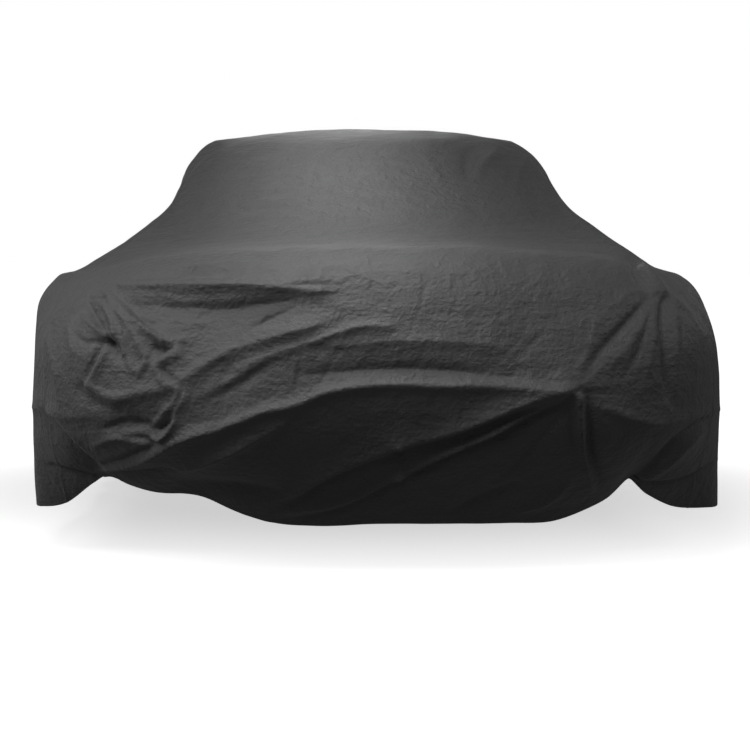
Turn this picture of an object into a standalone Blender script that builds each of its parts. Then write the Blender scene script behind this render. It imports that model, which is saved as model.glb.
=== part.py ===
"""A fitted car cover: a centre panel and two side panels of thin cloth, hanging in loose folds.

Every table below gives places in millimetres as (out, back, up): out from the middle plane (+ is right as
seen from in front), back from the foremost cloth and up from the ground. The last step moves the whole cover,
so that the origin lies under its top, by which it is held up.
"""

import bpy
import numpy as np

MM = 0.001

SHEET = 2.0 * MM  # thickness of the cloth
SEAM_GAP = 0.3 * MM  # between two panels where they are sewn together
CLOTH_COLOUR = (0.045, 0.045, 0.046, 1)
TOP_PLACE = (0, 2550, 1262)  # the underside of the top, which becomes the origin

# Where a seam leaves the hem, measured along the widest ring of the cover from the middle of the nose.
NOSE_SEAM = 1150
TAIL_SEAM = 4950
HALF_RING = 5870

# The form of the right half, one row per line that runs from the hem to the rail, where the top begins.
# "at" is the line's place along the widest ring. The left half mirrors it, but for its hem and its tuck.
LINES = (
    # at, belly, shoulder, deck, cowl, rail
    (0, (0, 18, 670), (0, 95, 825), (0, 650, 884), (0, 1250, 945), (0, 2020, 1232)),
    (350, (350, 38, 668), (342, 114, 820), (325, 662, 878), (300, 1265, 942), (222, 2025, 1231)),
    (660, (655, 112, 655), (640, 200, 798), (590, 725, 860), (525, 1310, 936), (380, 2045, 1222)),
    (900, (838, 250, 635), (812, 360, 768), (745, 855, 840), (635, 1400, 945), (450, 2070, 1212)),
    (1150, (935, 460, 615), (910, 580, 744), (824, 1050, 834), (648, 1520, 985), (484, 2125, 1200)),
    (1600, (990, 900, 600), (958, 930, 722), (848, 1230, 811), (658, 1680, 990), (500, 2215, 1216)),
    (2250, (985, 1600, 585), (948, 1610, 735), (832, 1700, 838), (650, 1930, 1008), (512, 2320, 1230)),
    (2950, (983, 2300, 585), (942, 2300, 748), (826, 2300, 850), (644, 2360, 1018), (516, 2475, 1236)),
    (3650, (984, 3000, 592), (938, 2990, 770), (822, 2940, 872), (638, 2800, 1022), (512, 2650, 1234)),
    (4250, (975, 3600, 605), (922, 3560, 800), (800, 3440, 892), (612, 3130, 1030), (500, 2800, 1222)),
    (4950, (865, 4210, 615), (806, 4110, 812), (690, 3870, 905), (520, 3390, 1035), (478, 2905, 1202)),
    (5400, (500, 4420, 620), (480, 4330, 822), (420, 4040, 922), (330, 3510, 1048), (262, 2965, 1206)),
    (5870, (0, 4475, 622), (0, 4390, 832), (0, 4090, 932), (0, 3560, 1056), (0, 2985, 1208)),
)

# The tuck is the ring below which the cloth turns inwards. It is uneven at the nose.
TUCK_RIGHT = (
    # at    out   back  up
    (0,     0,    0,    536),
    (240,   240,  2,    538),
    (390,   388,  6,    530),
    (510,   505,  22,   518),
    (600,   592,  62,   476),
    (700,   682,  122,  446),
    (820,   776,  205,  430),
    (950,   860,  320,  422),
    (1150,  938,  500,  420),
    (1600,  1014, 900,  425),
    (2250,  976,  1600, 372),
    (2950,  966,  2300, 360),
    (3650,  974,  3000, 380),
    (4250,  978,  3610, 425),
    (4950,  868,  4215, 455),
    (5400,  502,  4430, 460),
    (5870,  0,    4485, 460),
)
TUCK_LEFT = (
    (90,    90,   0,    536),
    (200,   200,  4,    510),
    (290,   290,  10,   483),
    (430,   428,  26,   430),
    (540,   535,  58,   404),
    (660,   650,  118,  402),
    (780,   748,  190,  405),
    (950,   860,  320,  414),
    (1150,  938,  500,  420),
)
HEM_RIGHT = (
    (0,     0,    300,  131),
    (350,   340,  305,  132),
    (500,   480,  335,  134),
    (580,   552,  365,  153),
    (680,   630,  400,  186),
    (790,   698,  460,  226),
    (900,   762,  550,  184),
    (1060,  852,  670,  137),
    (1300,  985,  790,  120),
    (1600,  1016, 930,  128),
    (2250,  962,  1600, 118),
    (2950,  950,  2300, 112),
    (3650,  958,  3000, 118),
    (4250,  972,  3640, 130),
    (4950,  842,  4180, 168),
    (5400,  486,  4365, 176),
    (5870,  0,    4405, 172),
)
HEM_LEFT = (
    (330,   328,  305,  139),
    (430,   412,  320,  164),
    (540,   510,  360,  199),
    (680,   630,  420,  209),
    (780,   700,  465,  222),
    (900,   770,  525,  240),
    (1000,  815,  580,  216),
    (1150,  900,  700,  150),
    (1320,  986,  800,  128),
    (1600,  1006, 930,  142),
)

# How many mesh spans lie between two neighbouring levels (hem, tuck, belly, shoulder, deck, cowl, rail) and,
# along the ring, from the nose's middle to the seam, along a side and from the seam to the tail's middle.
ROWS = (7, 4, 4, 3, 3, 4)
NOSE_COLUMNS = 20
SIDE_COLUMNS = 18

# Above the rail the cloth heads for the middle of the top: what is left there of a rail point's way out and
# of its way forward or back, and the height. The top bulges a little more than a plain cubic between the
# rails, and how sharply its lines bend out to the side rails is a power of their way across.
TOP_SHARE = (0.45, 0.55)
TOP_HEIGHT = 1262
TOP_BULGE = 1.05
TOP_BEND = 2.5

# The eye that the front drawing is seen from, in metres, and how far it looks to the right of straight back.
EYE = np.array((-0.24, -7.2, 1.0))
EYE_TURN = 0.03

# Folds of the front, drawn on an upright plane at the nose as that eye sees them. Each path gives (across,
# up) in mm and is walked with its upper or left side on the left hand. A height above 0 is a ridge, below 0
# a trough: it is given at the path's start, middle and end. "above" and "below" are how far the slope
# reaches on the left and on the right hand of the path.
FRONT_FOLDS = (
    # name                heights        above below path
    ("grille_ridge",       (6, 26, 14),    70,  34,  ((-500, 518), (-424, 584), (-237, 626), (-89, 676),
                                                      (34, 684))),
    ("bumper_edge",        (10, 16, 12),   60,  40,  ((-518, 400), (-405, 429), (-268, 484), (-71, 537),
                                                      (261, 539), (524, 522))),
    ("left_lower_ridge",   (12, 20, 14),   46,  34,  ((-716, 311), (-629, 334), (-555, 366), (-523, 397))),
    ("left_tension",       (-6, -16, -12), 34,  34,  ((-871, 458), (-797, 355), (-721, 311))),
    ("right_tension",      (-12, -16, -6), 34,  34,  ((671, 279), (726, 318), (850, 442))),
    ("pinch_long",         (-8, -16, -4),  34,  40,  ((497, 505), (245, 426), (-18, 329))),
    ("pinch_long_ridge",   (10, 14, 4),    40,  30,  ((497, 516), (168, 424), (-18, 366))),
    ("pinch_low",          (-8, -14, -4),  34,  34,  ((503, 484), (229, 355), (-18, 242))),
    ("pinch_low_ridge",    (8, 12, 6),     36,  30,  ((508, 474), (240, 332), (70, 250))),
    ("pinch_down",         (-6, -14, -4),  30,  30,  ((566, 479), (566, 400), (571, 329))),
    ("pinch_down_ridge",   (12, 14, 6),    26,  26,  ((534, 489), (540, 390), (566, 261))),
    ("lamp_trough_a",      (-8, -18, -6),  44,  44,  ((684, 758), (610, 660), (553, 579))),
    ("lamp_trough_b",      (-6, -12, -4),  30,  30,  ((713, 753), (690, 670), (666, 597))),
    ("lamp_trough_c",      (-6, -18, -6),  34,  28,  ((758, 758), (766, 650), (763, 508))),
    ("bonnet_ridge",       (4, 14, 4),     40,  26,  ((-697, 795), (-397, 803), (-237, 789))),
    ("bonnet_trough",      (-4, -16, -4),  26,  44,  ((-680, 780), (-390, 770), (-160, 766))),
    ("left_lamp_crease",   (-8, -18, -10), 28,  28,  ((-761, 747), (-708, 650), (-674, 603))),
    ("left_lamp_branch",   (-10, -14, -4), 28,  28,  ((-708, 650), (-747, 597), (-782, 534))),
    ("left_lamp_ridge",    (6, 20, 16),    34,  34,  ((-721, 771), (-647, 713), (-582, 658), (-518, 653))),
    ("left_lamp_pocket",   (-6, -22, -6),  30,  30,  ((-600, 640), (-560, 618), (-520, 640))),
    ("left_low_ridge",     (8, 20, 10),    34,  30,  ((-639, 508), (-590, 516), (-542, 524))),
    ("left_low_pocket",    (-8, -24, -8),  30,  34,  ((-655, 470), (-600, 480), (-545, 505))),
)

# Folds of the other faces, drawn flat in mm and walked with their upper side on the left hand: the sides as
# (back, up), the tail as (out, up) and the top as (out, back), whose "above" side is the one to the back.
RIGHT_FOLDS = (
    ("wing_pull",         (-4, -14, -6),  80,   60,    ((1180, 690), (1600, 560), (2050, 360))),
    ("door_swag",         (4, 16, 6),     90,   60,    ((1250, 480), (1800, 430), (2450, 540))),
    ("sill_swag",         (-6, -14, -4),  80,   80,    ((1450, 250), (2150, 300), (2900, 240))),
    ("haunch_pull",       (-6, -16, -4),  70,   90,    ((3750, 690), (3350, 520), (2850, 330))),
    ("haunch_ridge",      (8, 14, 6),     90,   60,    ((3800, 560), (3400, 400), (3050, 220))),
    ("window_pull",       (-4, -12, -4),  70,   70,    ((1800, 900), (2250, 980), (2750, 1090))),
    ("tail_pull",         (-4, -14, -6),  70,   70,    ((4150, 700), (3950, 480), (3880, 260))),
)
LEFT_FOLDS = (
    ("wing_slack",        (12, 32, 8),    120,  110,   ((700, 690), (950, 715), (1250, 700))),
    ("wing_pull",         (-6, -16, -4),  70,   80,    ((1250, 640), (1700, 470), (2250, 330))),
    ("door_swag",         (6, 14, 4),     90,   70,    ((1500, 560), (2100, 490), (2700, 580))),
    ("sill_swag",         (-4, -14, -6),  90,   80,    ((1350, 300), (1900, 230), (2700, 290))),
    ("haunch_pull",       (-4, -16, -6),  80,   70,    ((3700, 720), (3200, 560), (2750, 420))),
    ("haunch_ridge",      (6, 16, 6),     80,   70,    ((3850, 520), (3500, 360), (3250, 200))),
    ("window_pull",       (-4, -12, -4),  80,   60,    ((1950, 930), (2450, 960), (2950, 1060))),
    ("tail_pull",         (-6, -12, -4),  70,   70,    ((4180, 640), (4000, 430), (3950, 240))),
)
TAIL_FOLDS = (
    ("lid_swag",          (4, 16, 4),     90,   60,    ((-620, 700), (-40, 600), (560, 720))),
    ("bumper_swag",       (-6, -16, -6),  70,   90,    ((-700, 560), (60, 440), (680, 540))),
    ("left_pull",         (8, 14, 4),     70,   60,    ((-760, 620), (-480, 420), (-300, 240))),
    ("right_pull",        (-6, -14, -4),  60,   70,    ((770, 600), (520, 380), (380, 230))),
)
TOP_FOLDS = (
    ("rear_screen_sag",   (-4, -14, -4),  160,  160,   ((-380, 3320), (20, 3260), (400, 3340))),
    ("deck_crease",       (4, 12, 4),     90,   90,    ((-520, 3900), (-60, 3780), (480, 3860))),
    ("roof_crease",       (-3, -8, -3),   90,   90,    ((-300, 2460), (60, 2620), (330, 2560))),
)

# The loose edge waves in and out: wave lengths along the ring and how far each wave reaches, and the height
# above the hem over which the waves die out.
HEM_WAVES = (
    # length  reach  start
    (870,     9,     120),
    (610,     6,     400),
)
WAVE_RISE = 420


def table_places(rows, mirror=1):
    """The places of a table of (at, out, back, up) rows, in metres, with their places along the ring."""
    table = np.array(rows, float) * MM
    return mirror * table[:, 0], table[:, 1:] * (mirror, 1, 1)


def closed_ring(right, left):
    """Knots and places once round the cover, from the tail's middle by the left side and back to it.

    left gives only what differs from the mirrored right side, up to its last place along the ring.
    """
    right_at, right_places = right
    left_at, left_places = left
    beyond = right_at > -left_at[-1] + 1e-6 if len(left_at) else right_at > 1e-6
    mirrored = right_places[beyond] * (-1, 1, 1)
    at = np.concatenate([-right_at[beyond][::-1], left_at[::-1], right_at])
    places = np.concatenate([mirrored[::-1], left_places[::-1], right_places])
    turn = 2 * HALF_RING * MM
    reach = 3
    at = np.concatenate([at[-reach - 1 : -1] - turn, at, at[1 : reach + 1] + turn])
    places = np.concatenate([places[-reach - 1 : -1], places, places[1 : reach + 1]])
    return at, places


def tangents(knots, places):
    """The slope of a smooth curve at each place: the parabola through it and its two neighbours."""
    steps = np.diff(knots, axis=0)
    rates = np.diff(places, axis=0) / steps
    inner = (rates[1:] * steps[:-1] + rates[:-1] * steps[1:]) / (steps[1:] + steps[:-1])
    return np.concatenate([rates[:1], inner, rates[-1:]])


def hermite(start, end, leave, arrive, part):
    """A cubic from start to end that leaves and arrives with the given slopes, at part of the way."""
    left = (2 * part**3 - 3 * part**2 + 1) * start + (part**3 - 2 * part**2 + part) * leave
    return left + (-2 * part**3 + 3 * part**2) * end + (part**3 - part**2) * arrive


def ring_at(ring, wanted):
    """Places on a closed ring at the wanted distances along it."""
    knots, places = ring
    slopes = tangents(knots[:, None], places)
    span = np.clip(np.searchsorted(knots, wanted, side="right") - 1, 0, len(knots) - 2)
    length = (knots[span + 1] - knots[span])[:, None]
    part = (wanted - knots[span])[:, None] / length
    return hermite(places[span], places[span + 1], slopes[span] * length, slopes[span + 1] * length, part)


def level_rings():
    """The closed rings of the cover from the hem up to the rail."""
    rings = []
    for right, left in ((HEM_RIGHT, HEM_LEFT), (TUCK_RIGHT, TUCK_LEFT)):
        rings.append(closed_ring(table_places(right), table_places(left, -1)))
    nothing = (np.zeros(0), np.zeros((0, 3)))
    for level in range(1, len(LINES[0])):
        rows = [(line[0], *line[level]) for line in LINES]
        rings.append(closed_ring(table_places(rows), nothing))
    return rings


def column_stops():
    """Places along the ring of the mesh's columns, from the left tail seam round the nose and back."""
    nose = np.linspace(0, NOSE_SEAM, NOSE_COLUMNS + 1)
    side = np.linspace(NOSE_SEAM, TAIL_SEAM, SIDE_COLUMNS + 1)[1:]
    tail = np.linspace(TAIL_SEAM, HALF_RING, NOSE_COLUMNS + 1)[1:]
    half = np.concatenate([nose, side, tail])
    return np.concatenate([-half[:0:-1], half]) * MM


def skirt_grid(stops, spans):
    """Points of the cover from hem to rail, as a grid of rows (up) by columns (round), with rail slopes."""
    levels = np.array([ring_at(ring, stops) for ring in level_rings()])
    top_back = TOP_PLACE[1] * MM
    middle = np.full_like(levels[-1], TOP_HEIGHT * MM)
    middle[:, 0] = TOP_SHARE[0] * levels[-1][:, 0]
    middle[:, 1] = top_back + TOP_SHARE[1] * (levels[-1][:, 1] - top_back)
    levels = np.concatenate([levels, middle[None]])
    lengths = np.linalg.norm(np.diff(levels, axis=0), axis=2, keepdims=True)
    knots = np.concatenate([np.zeros_like(lengths[:1]), np.cumsum(lengths, axis=0)])
    slopes = tangents(knots, levels)
    rows = []
    for level, count in enumerate(spans):
        for part in np.arange(count) / count:
            leave, arrive = (slopes[level + end] * lengths[level] for end in (0, 1))
            rows.append(hermite(levels[level], levels[level + 1], leave, arrive, part))
    rows.append(levels[len(spans)])
    return np.array(rows), slopes[len(spans)]


def roof_grid(skirt, slopes, nose, tail, right, left):
    """Points of the roof between the rails: rows run back, columns run from left to right."""
    front, rear = skirt[-1][nose], skirt[-1][tail]
    length = np.linalg.norm(rear - front, axis=1, keepdims=True) * TOP_BULGE
    leave, arrive = slopes[nose] * length, -slopes[tail] * length
    across = np.linspace(-1, 1, len(nose))[:, None]
    share = np.abs(across) ** TOP_BEND
    rows = []
    for part, at_right, at_left in zip(np.linspace(0, 1, len(right)), right, left):
        line = hermite(front, rear, leave, arrive, part)
        to_right = skirt[-1][at_right] - line[-1]
        to_left = skirt[-1][at_left] - line[0]
        rows.append(line + share * np.where(across > 0, to_right, to_left))
    return np.array(rows)


def grid_quads(ids):
    """The quads of a grid of point numbers: seen from outside, rows run up and columns run to the right."""
    corners = np.stack([ids[:-1, :-1], ids[:-1, 1:], ids[1:, 1:], ids[1:, :-1]], axis=-1)
    return corners.reshape(-1, 4)


def point_normals(points, quads):
    """Outward unit normals, each the mean of the quads round its point."""
    first, second, third, fourth = (points[quads[:, corner]] for corner in range(4))
    facing = np.cross(third - first, fourth - second)
    normals = np.zeros_like(points)
    for corner in range(4):
        np.add.at(normals, quads[:, corner], facing)
    return normals / np.linalg.norm(normals, axis=1, keepdims=True)


def smooth_path(points, pieces=6):
    """A finer path through a fold's own points, in metres."""
    points = np.array(points, float) * MM
    knots = np.concatenate([[0], np.cumsum(np.linalg.norm(np.diff(points, axis=0), axis=1))])[:, None]
    slopes = tangents(knots, points)
    steps = np.diff(knots, axis=0)
    fine = []
    for span in range(len(points) - 1):
        leave, arrive = (slopes[span + end] * steps[span] for end in (0, 1))
        for part in np.arange(pieces) / pieces:
            fine.append(hermite(points[span], points[span + 1], leave, arrive, part))
    return np.array(fine + [points[-1]])


def fold_height(spots, heights, above, below, path):
    """How far one fold lifts the cloth at each drawn spot."""
    line = smooth_path(path)
    starts, ways = line[:-1], np.diff(line, axis=0)
    lengths = np.linalg.norm(ways, axis=1)
    walked = np.concatenate([[0], np.cumsum(lengths)])
    nearest = np.full(len(spots), np.inf)
    reached = np.zeros(len(spots))
    hand = np.zeros(len(spots))
    for start, way, length, before in zip(starts, ways, lengths, walked):
        offset = spots - start
        part = np.clip((offset @ way) / length**2, 0, 1)
        gap = np.linalg.norm(offset - part[:, None] * way, axis=1)
        closer = gap < nearest
        nearest = np.where(closer, gap, nearest)
        reached = np.where(closer, (before + part * length) / walked[-1], reached)
        hand = np.where(closer, way[0] * offset[:, 1] - way[1] * offset[:, 0], hand)
    first, middle, last = heights
    height = first * (1 - reached) * (1 - 2 * reached) + 4 * middle * reached * (1 - reached)
    height = height + last * reached * (2 * reached - 1)
    reach = np.where(hand > 0, above, below) * MM
    return height * MM * np.exp(-((nearest / reach) ** 2))


def front_drawing(points):
    """Where the eye sees each point on the upright plane at the nose, as (across, up) in metres."""
    ahead = np.array((EYE_TURN, 1, 0)) / np.hypot(1, EYE_TURN)
    right = np.array((1, -EYE_TURN, 0)) / np.hypot(1, EYE_TURN)
    offset = points - EYE
    scale = -EYE[1] / (offset @ ahead)
    return np.stack([offset @ right * scale, EYE[2] + offset[..., 2] * scale], axis=-1)


def soft_step(value, low, high):
    part = np.clip((value - low) / (high - low), 0, 1)
    return part * part * (3 - 2 * part)


def lifted_by(folds, spots):
    """How far a table of folds lifts the cloth at each drawn spot."""
    return sum(fold_height(spots, heights, above, below, path) for _, heights, above, below, path in folds)


def hem_waves(points):
    """How far the loose edge swings out at each point: most at the hem, nothing higher up."""
    around = np.arctan2(points[:, 0], TOP_PLACE[1] * MM - points[:, 1]) * HALF_RING / np.pi
    swing = sum(reach * np.sin(2 * np.pi * (around - start) / length) for length, reach, start in HEM_WAVES)
    return swing * MM * (1 - soft_step(points[:, 2], 0.1, WAVE_RISE * MM))


def draped(points, quads):
    """The points with the folds: each moves along the cloth's own normal."""
    outward = point_normals(points, quads)
    out, back, up = points.T
    to_eye = EYE - points
    facing = np.sum(outward * to_eye, axis=1) / np.linalg.norm(to_eye, axis=1)
    front = soft_step(facing, 0.0, 0.2) * (1 - soft_step(back, 1.6, 2.0))
    behind = 1 - soft_step(facing, -0.1, 0.1)
    across = soft_step(np.abs(outward[:, 0]), 0.3, 0.7) * behind
    flat = soft_step(outward[:, 2], 0.5, 0.8) * soft_step(back, 1.9, 2.3)
    rear = soft_step(outward[:, 1], 0.4, 0.8) * soft_step(back, 3.6, 3.9)
    side_spots = np.stack([back, up], axis=1)
    lift = front * lifted_by(FRONT_FOLDS, front_drawing(points))
    lift += across * (out > 0) * lifted_by(RIGHT_FOLDS, side_spots)
    lift += across * (out < 0) * lifted_by(LEFT_FOLDS, side_spots)
    lift += rear * lifted_by(TAIL_FOLDS, np.stack([out, up], axis=1))
    lift += flat * lifted_by(TOP_FOLDS, np.stack([out, back], axis=1))
    lift += soft_step(back, 0.6, 1.2) * hem_waves(points)
    return points + lift[:, None] * outward


def cover_grid():
    """All points of the cover, and the quads of its centre, right and left panel."""
    stops = column_stops()
    skirt, slopes = skirt_grid(stops, ROWS)
    middle = len(stops) // 2
    left_seam, right_seam = middle - NOSE_COLUMNS, middle + NOSE_COLUMNS
    nose = np.arange(left_seam, right_seam + 1)
    right = np.arange(right_seam, right_seam + SIDE_COLUMNS + 1)
    left = np.arange(left_seam, left_seam - SIDE_COLUMNS - 1, -1)
    tail = np.concatenate([np.arange(left[-1], 0, -1), np.arange(len(stops) - 1, right[-1] - 1, -1)])
    roof = roof_grid(skirt, slopes, nose, tail, right, left)

    # The ring is closed: its last column is its first, at the middle of the tail.
    skirt_ids = np.arange(skirt.shape[0] * (len(stops) - 1)).reshape(skirt.shape[0], -1)
    skirt_ids = np.concatenate([skirt_ids, skirt_ids[:, :1]], axis=1)
    rail_ids = skirt_ids[-1]
    inner_count = (SIDE_COLUMNS - 1) * (2 * NOSE_COLUMNS - 1)
    inner_ids = np.arange(inner_count).reshape(SIDE_COLUMNS - 1, -1) + skirt_ids.max() + 1
    roof_ids = np.concatenate([rail_ids[left[1:-1], None], inner_ids, rail_ids[right[1:-1], None]], axis=1)
    roof_ids = np.concatenate([rail_ids[None, nose], roof_ids, rail_ids[None, tail]])

    points = np.concatenate([skirt[:, :-1].reshape(-1, 3), roof[1:-1, 1:-1].reshape(-1, 3)])
    centre = [grid_quads(skirt_ids[:, nose]), grid_quads(skirt_ids[:, tail[::-1]]), grid_quads(roof_ids)]
    sides = [grid_quads(skirt_ids[:, right]), grid_quads(skirt_ids[:, left[::-1]])]
    return points, [np.concatenate(centre), *sides]


def open_edges(quads):
    """The edges that only one quad has, each in that quad's own direction."""
    edges = np.concatenate([quads[:, [corner, (corner + 1) % 4]] for corner in range(4)])
    known = {(a, b) for a, b in edges.tolist()}
    return [(a, b) for a, b in sorted(known) if (b, a) not in known]


def drawn_in(points, quads, seam):
    """How far each point of one panel moves into that panel, so that the sewn edges stay a little apart."""
    edges = np.concatenate([quads[:, [corner, (corner + 1) % 4]] for corner in range(4)])
    edges = np.concatenate([edges, edges[:, ::-1]])
    inward = np.zeros_like(points)
    from_seam = edges[seam[edges[:, 0]] & ~seam[edges[:, 1]]]
    np.add.at(inward, from_seam[:, 0], points[from_seam[:, 1]] - points[from_seam[:, 0]])
    length = np.linalg.norm(inward, axis=1, keepdims=True)
    return inward / np.maximum(length, 1e-9) * SEAM_GAP / 2


def add_sheet(name, outer, inner, quads, material):
    """One closed sheet: an outer and an inner face over the same quads, joined round their open edges."""
    used = np.unique(quads)
    place = np.zeros(used.max() + 1, int)
    place[used] = np.arange(len(used))
    faces = []
    for a, b, c, d in place[quads]:
        # Both faces split along the same diagonal, or the sheet's two sides would cross where it is warped.
        faces += [[a, b, c], [a, c, d]]
        faces += [[a + len(used), c + len(used), b + len(used)], [a + len(used), d + len(used), c + len(used)]]
    for start, end in open_edges(place[quads]):
        # Both panels at a seam split their edge strips along the same diagonal, or the strips would cross.
        below_start, below_end = start + len(used), end + len(used)
        if start < end:
            faces += [[end, start, below_end], [start, below_start, below_end]]
        else:
            faces += [[end, start, below_start], [end, below_start, below_end]]
    points = np.concatenate([outer[used], inner[used]]) - np.array(TOP_PLACE) * MM
    mesh = bpy.data.meshes.new(name)
    mesh.from_pydata(points.tolist(), [], faces)
    mesh.materials.append(material)
    mesh.shade_smooth()
    sheet = bpy.data.objects.new(name, mesh)
    bpy.context.collection.objects.link(sheet)
    return sheet


def cloth(name):
    material = bpy.data.materials.new(name)
    material.use_nodes = True
    shader = material.node_tree.nodes["Principled BSDF"]
    shader.inputs["Base Color"].default_value = CLOTH_COLOUR
    shader.inputs["Roughness"].default_value = 0.62
    shader.inputs["Metallic"].default_value = 0
    return material


def build_cover():
    points, panels = cover_grid()
    every_quad = np.concatenate(panels)
    outer = draped(points, every_quad)
    inner = outer - SHEET * point_normals(outer, every_quad)
    shared = sum(np.isin(np.arange(len(points)), quads).astype(int) for quads in panels)
    for name, quads in zip(("centre_panel", "right_panel", "left_panel"), panels):
        shift = drawn_in(outer, quads, shared > 1)
        add_sheet(name, outer + shift, inner + shift, quads, cloth(name + "_cloth"))


for item in list(bpy.data.objects):
    bpy.data.objects.remove(item, do_unlink=True)
build_cover()
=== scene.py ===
# %% [markdown]
# # A fitted car cover
#
# A cover of coated charcoal cloth is cut from three panels: one that runs from the nose over the top to the
# tail, and one for each side. It hangs in loose folds that no two covers share. In this notebook every
# panel is one thin sheet. Its smooth form comes from a few lines read from hem to top, and each crease is
# then laid on it.

# %% Load the frame
import math

import bpy
import numpy as np
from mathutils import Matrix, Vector


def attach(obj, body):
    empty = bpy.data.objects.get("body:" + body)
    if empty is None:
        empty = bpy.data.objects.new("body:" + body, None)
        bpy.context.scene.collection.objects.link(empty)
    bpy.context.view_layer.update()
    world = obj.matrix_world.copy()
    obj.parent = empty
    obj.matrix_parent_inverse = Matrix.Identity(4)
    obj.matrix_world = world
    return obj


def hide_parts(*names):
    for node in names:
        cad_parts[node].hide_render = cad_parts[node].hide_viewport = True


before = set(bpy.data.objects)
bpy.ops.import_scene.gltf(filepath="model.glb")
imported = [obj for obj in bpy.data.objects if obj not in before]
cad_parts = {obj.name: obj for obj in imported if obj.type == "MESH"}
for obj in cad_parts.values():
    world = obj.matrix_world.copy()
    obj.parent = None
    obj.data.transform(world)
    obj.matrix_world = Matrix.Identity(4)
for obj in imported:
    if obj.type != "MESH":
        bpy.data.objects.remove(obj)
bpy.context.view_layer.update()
bpy.ops.object.select_all(action="DESELECT")
print("solids in the frame:", sorted(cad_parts))

# %% [markdown]
# ## The measures
#
# A pattern cutter works in millimetres, and so do the tables here: (out, back, up), out from the middle
# plane and + to the right as seen from in front, back from the foremost cloth, up from the ground. The
# finished sheets are in metres, and moved so that the origin lies under the top, by which the cover is held
# up.

# %% Sizes of the cover
MM = 0.001
TOP_PLACE = np.array((0, 2550, 1262))  # the underside of the top
NOSE_SEAM = 1150  # where the seams leave the hem, walked along the widest ring from the nose's middle
TAIL_SEAM = 4950
HALF_RING = 5870
RING = 2 * HALF_RING * MM  # the whole way round, in metres
EYE = np.array((-0.24, -7.2, 1.0))  # where the front drawing is seen from, in metres
EYE_TURN = 0.03  # how far that view looks to the right of straight back
print("widest ring:", round(RING, 2), "m round")

# %% [markdown]
# ## The form
#
# Each line of the form runs from the hem up to the rail, where the top begins. Between its places the cloth
# is a smooth curve, so a handful of lines is enough for the whole body. The left half mirrors the right
# one, but for its hem and its tuck, the ring below which the cloth turns inwards.

# %% Lines of the form
LINES = (
    # at, belly, shoulder, deck, cowl, rail
    (0, (0, 18, 670), (0, 95, 825), (0, 650, 884), (0, 1250, 945), (0, 2020, 1232)),
    (350, (350, 38, 668), (342, 114, 820), (325, 662, 878), (300, 1265, 942), (222, 2025, 1231)),
    (660, (655, 112, 655), (640, 200, 798), (590, 725, 860), (525, 1310, 936), (380, 2045, 1222)),
    (900, (838, 250, 635), (812, 360, 768), (745, 855, 840), (635, 1400, 945), (450, 2070, 1212)),
    (1150, (935, 460, 615), (910, 580, 744), (824, 1050, 834), (648, 1520, 985), (484, 2125, 1200)),
    (1600, (990, 900, 600), (958, 930, 722), (848, 1230, 811), (658, 1680, 990), (500, 2215, 1216)),
    (2250, (985, 1600, 585), (948, 1610, 735), (832, 1700, 838), (650, 1930, 1008), (512, 2320, 1230)),
    (2950, (983, 2300, 585), (942, 2300, 748), (826, 2300, 850), (644, 2360, 1018), (516, 2475, 1236)),
    (3650, (984, 3000, 592), (938, 2990, 770), (822, 2940, 872), (638, 2800, 1022), (512, 2650, 1234)),
    (4250, (975, 3600, 605), (922, 3560, 800), (800, 3440, 892), (612, 3130, 1030), (500, 2800, 1222)),
    (4950, (865, 4210, 615), (806, 4110, 812), (690, 3870, 905), (520, 3390, 1035), (478, 2905, 1202)),
    (5400, (500, 4420, 620), (480, 4330, 822), (420, 4040, 922), (330, 3510, 1048), (262, 2965, 1206)),
    (5870, (0, 4475, 622), (0, 4390, 832), (0, 4090, 932), (0, 3560, 1056), (0, 2985, 1208)),
)
print(len(LINES), "lines for each half")

# %% The tuck and the hem
TUCK_RIGHT = (
    # at, out, back, up
    (0, 0, 0, 536),
    (240, 240, 2, 538),
    (390, 388, 6, 530),
    (510, 505, 22, 518),
    (600, 592, 62, 476),
    (700, 682, 122, 446),
    (820, 776, 205, 430),
    (950, 860, 320, 422),
    (1150, 938, 500, 420),
    (1600, 1014, 900, 425),
    (2250, 976, 1600, 372),
    (2950, 966, 2300, 360),
    (3650, 974, 3000, 380),
    (4250, 978, 3610, 425),
    (4950, 868, 4215, 455),
    (5400, 502, 4430, 460),
    (5870, 0, 4485, 460),
)
TUCK_LEFT = (
    (90, 90, 0, 536),
    (200, 200, 4, 510),
    (290, 290, 10, 483),
    (430, 428, 26, 430),
    (540, 535, 58, 404),
    (660, 650, 118, 402),
    (780, 748, 190, 405),
    (950, 860, 320, 414),
    (1150, 938, 500, 420),
)
HEM_RIGHT = (
    (0, 0, 300, 131),
    (350, 340, 305, 132),
    (500, 480, 335, 134),
    (580, 552, 365, 153),
    (680, 630, 400, 186),
    (790, 698, 460, 226),
    (900, 762, 550, 184),
    (1060, 852, 670, 137),
    (1300, 985, 790, 120),
    (1600, 1016, 930, 128),
    (2250, 962, 1600, 118),
    (2950, 950, 2300, 112),
    (3650, 958, 3000, 118),
    (4250, 972, 3640, 130),
    (4950, 842, 4180, 168),
    (5400, 486, 4365, 176),
    (5870, 0, 4405, 172),
)
HEM_LEFT = (
    (330, 328, 305, 139),
    (430, 412, 320, 164),
    (540, 510, 360, 199),
    (680, 630, 420, 209),
    (780, 700, 465, 222),
    (900, 770, 525, 240),
    (1000, 815, 580, 216),
    (1150, 900, 700, 150),
    (1320, 986, 800, 128),
    (1600, 1006, 930, 142),
)
print("the hem hangs", min(place[3] for place in HEM_RIGHT + HEM_LEFT), "mm above the ground or more")

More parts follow.
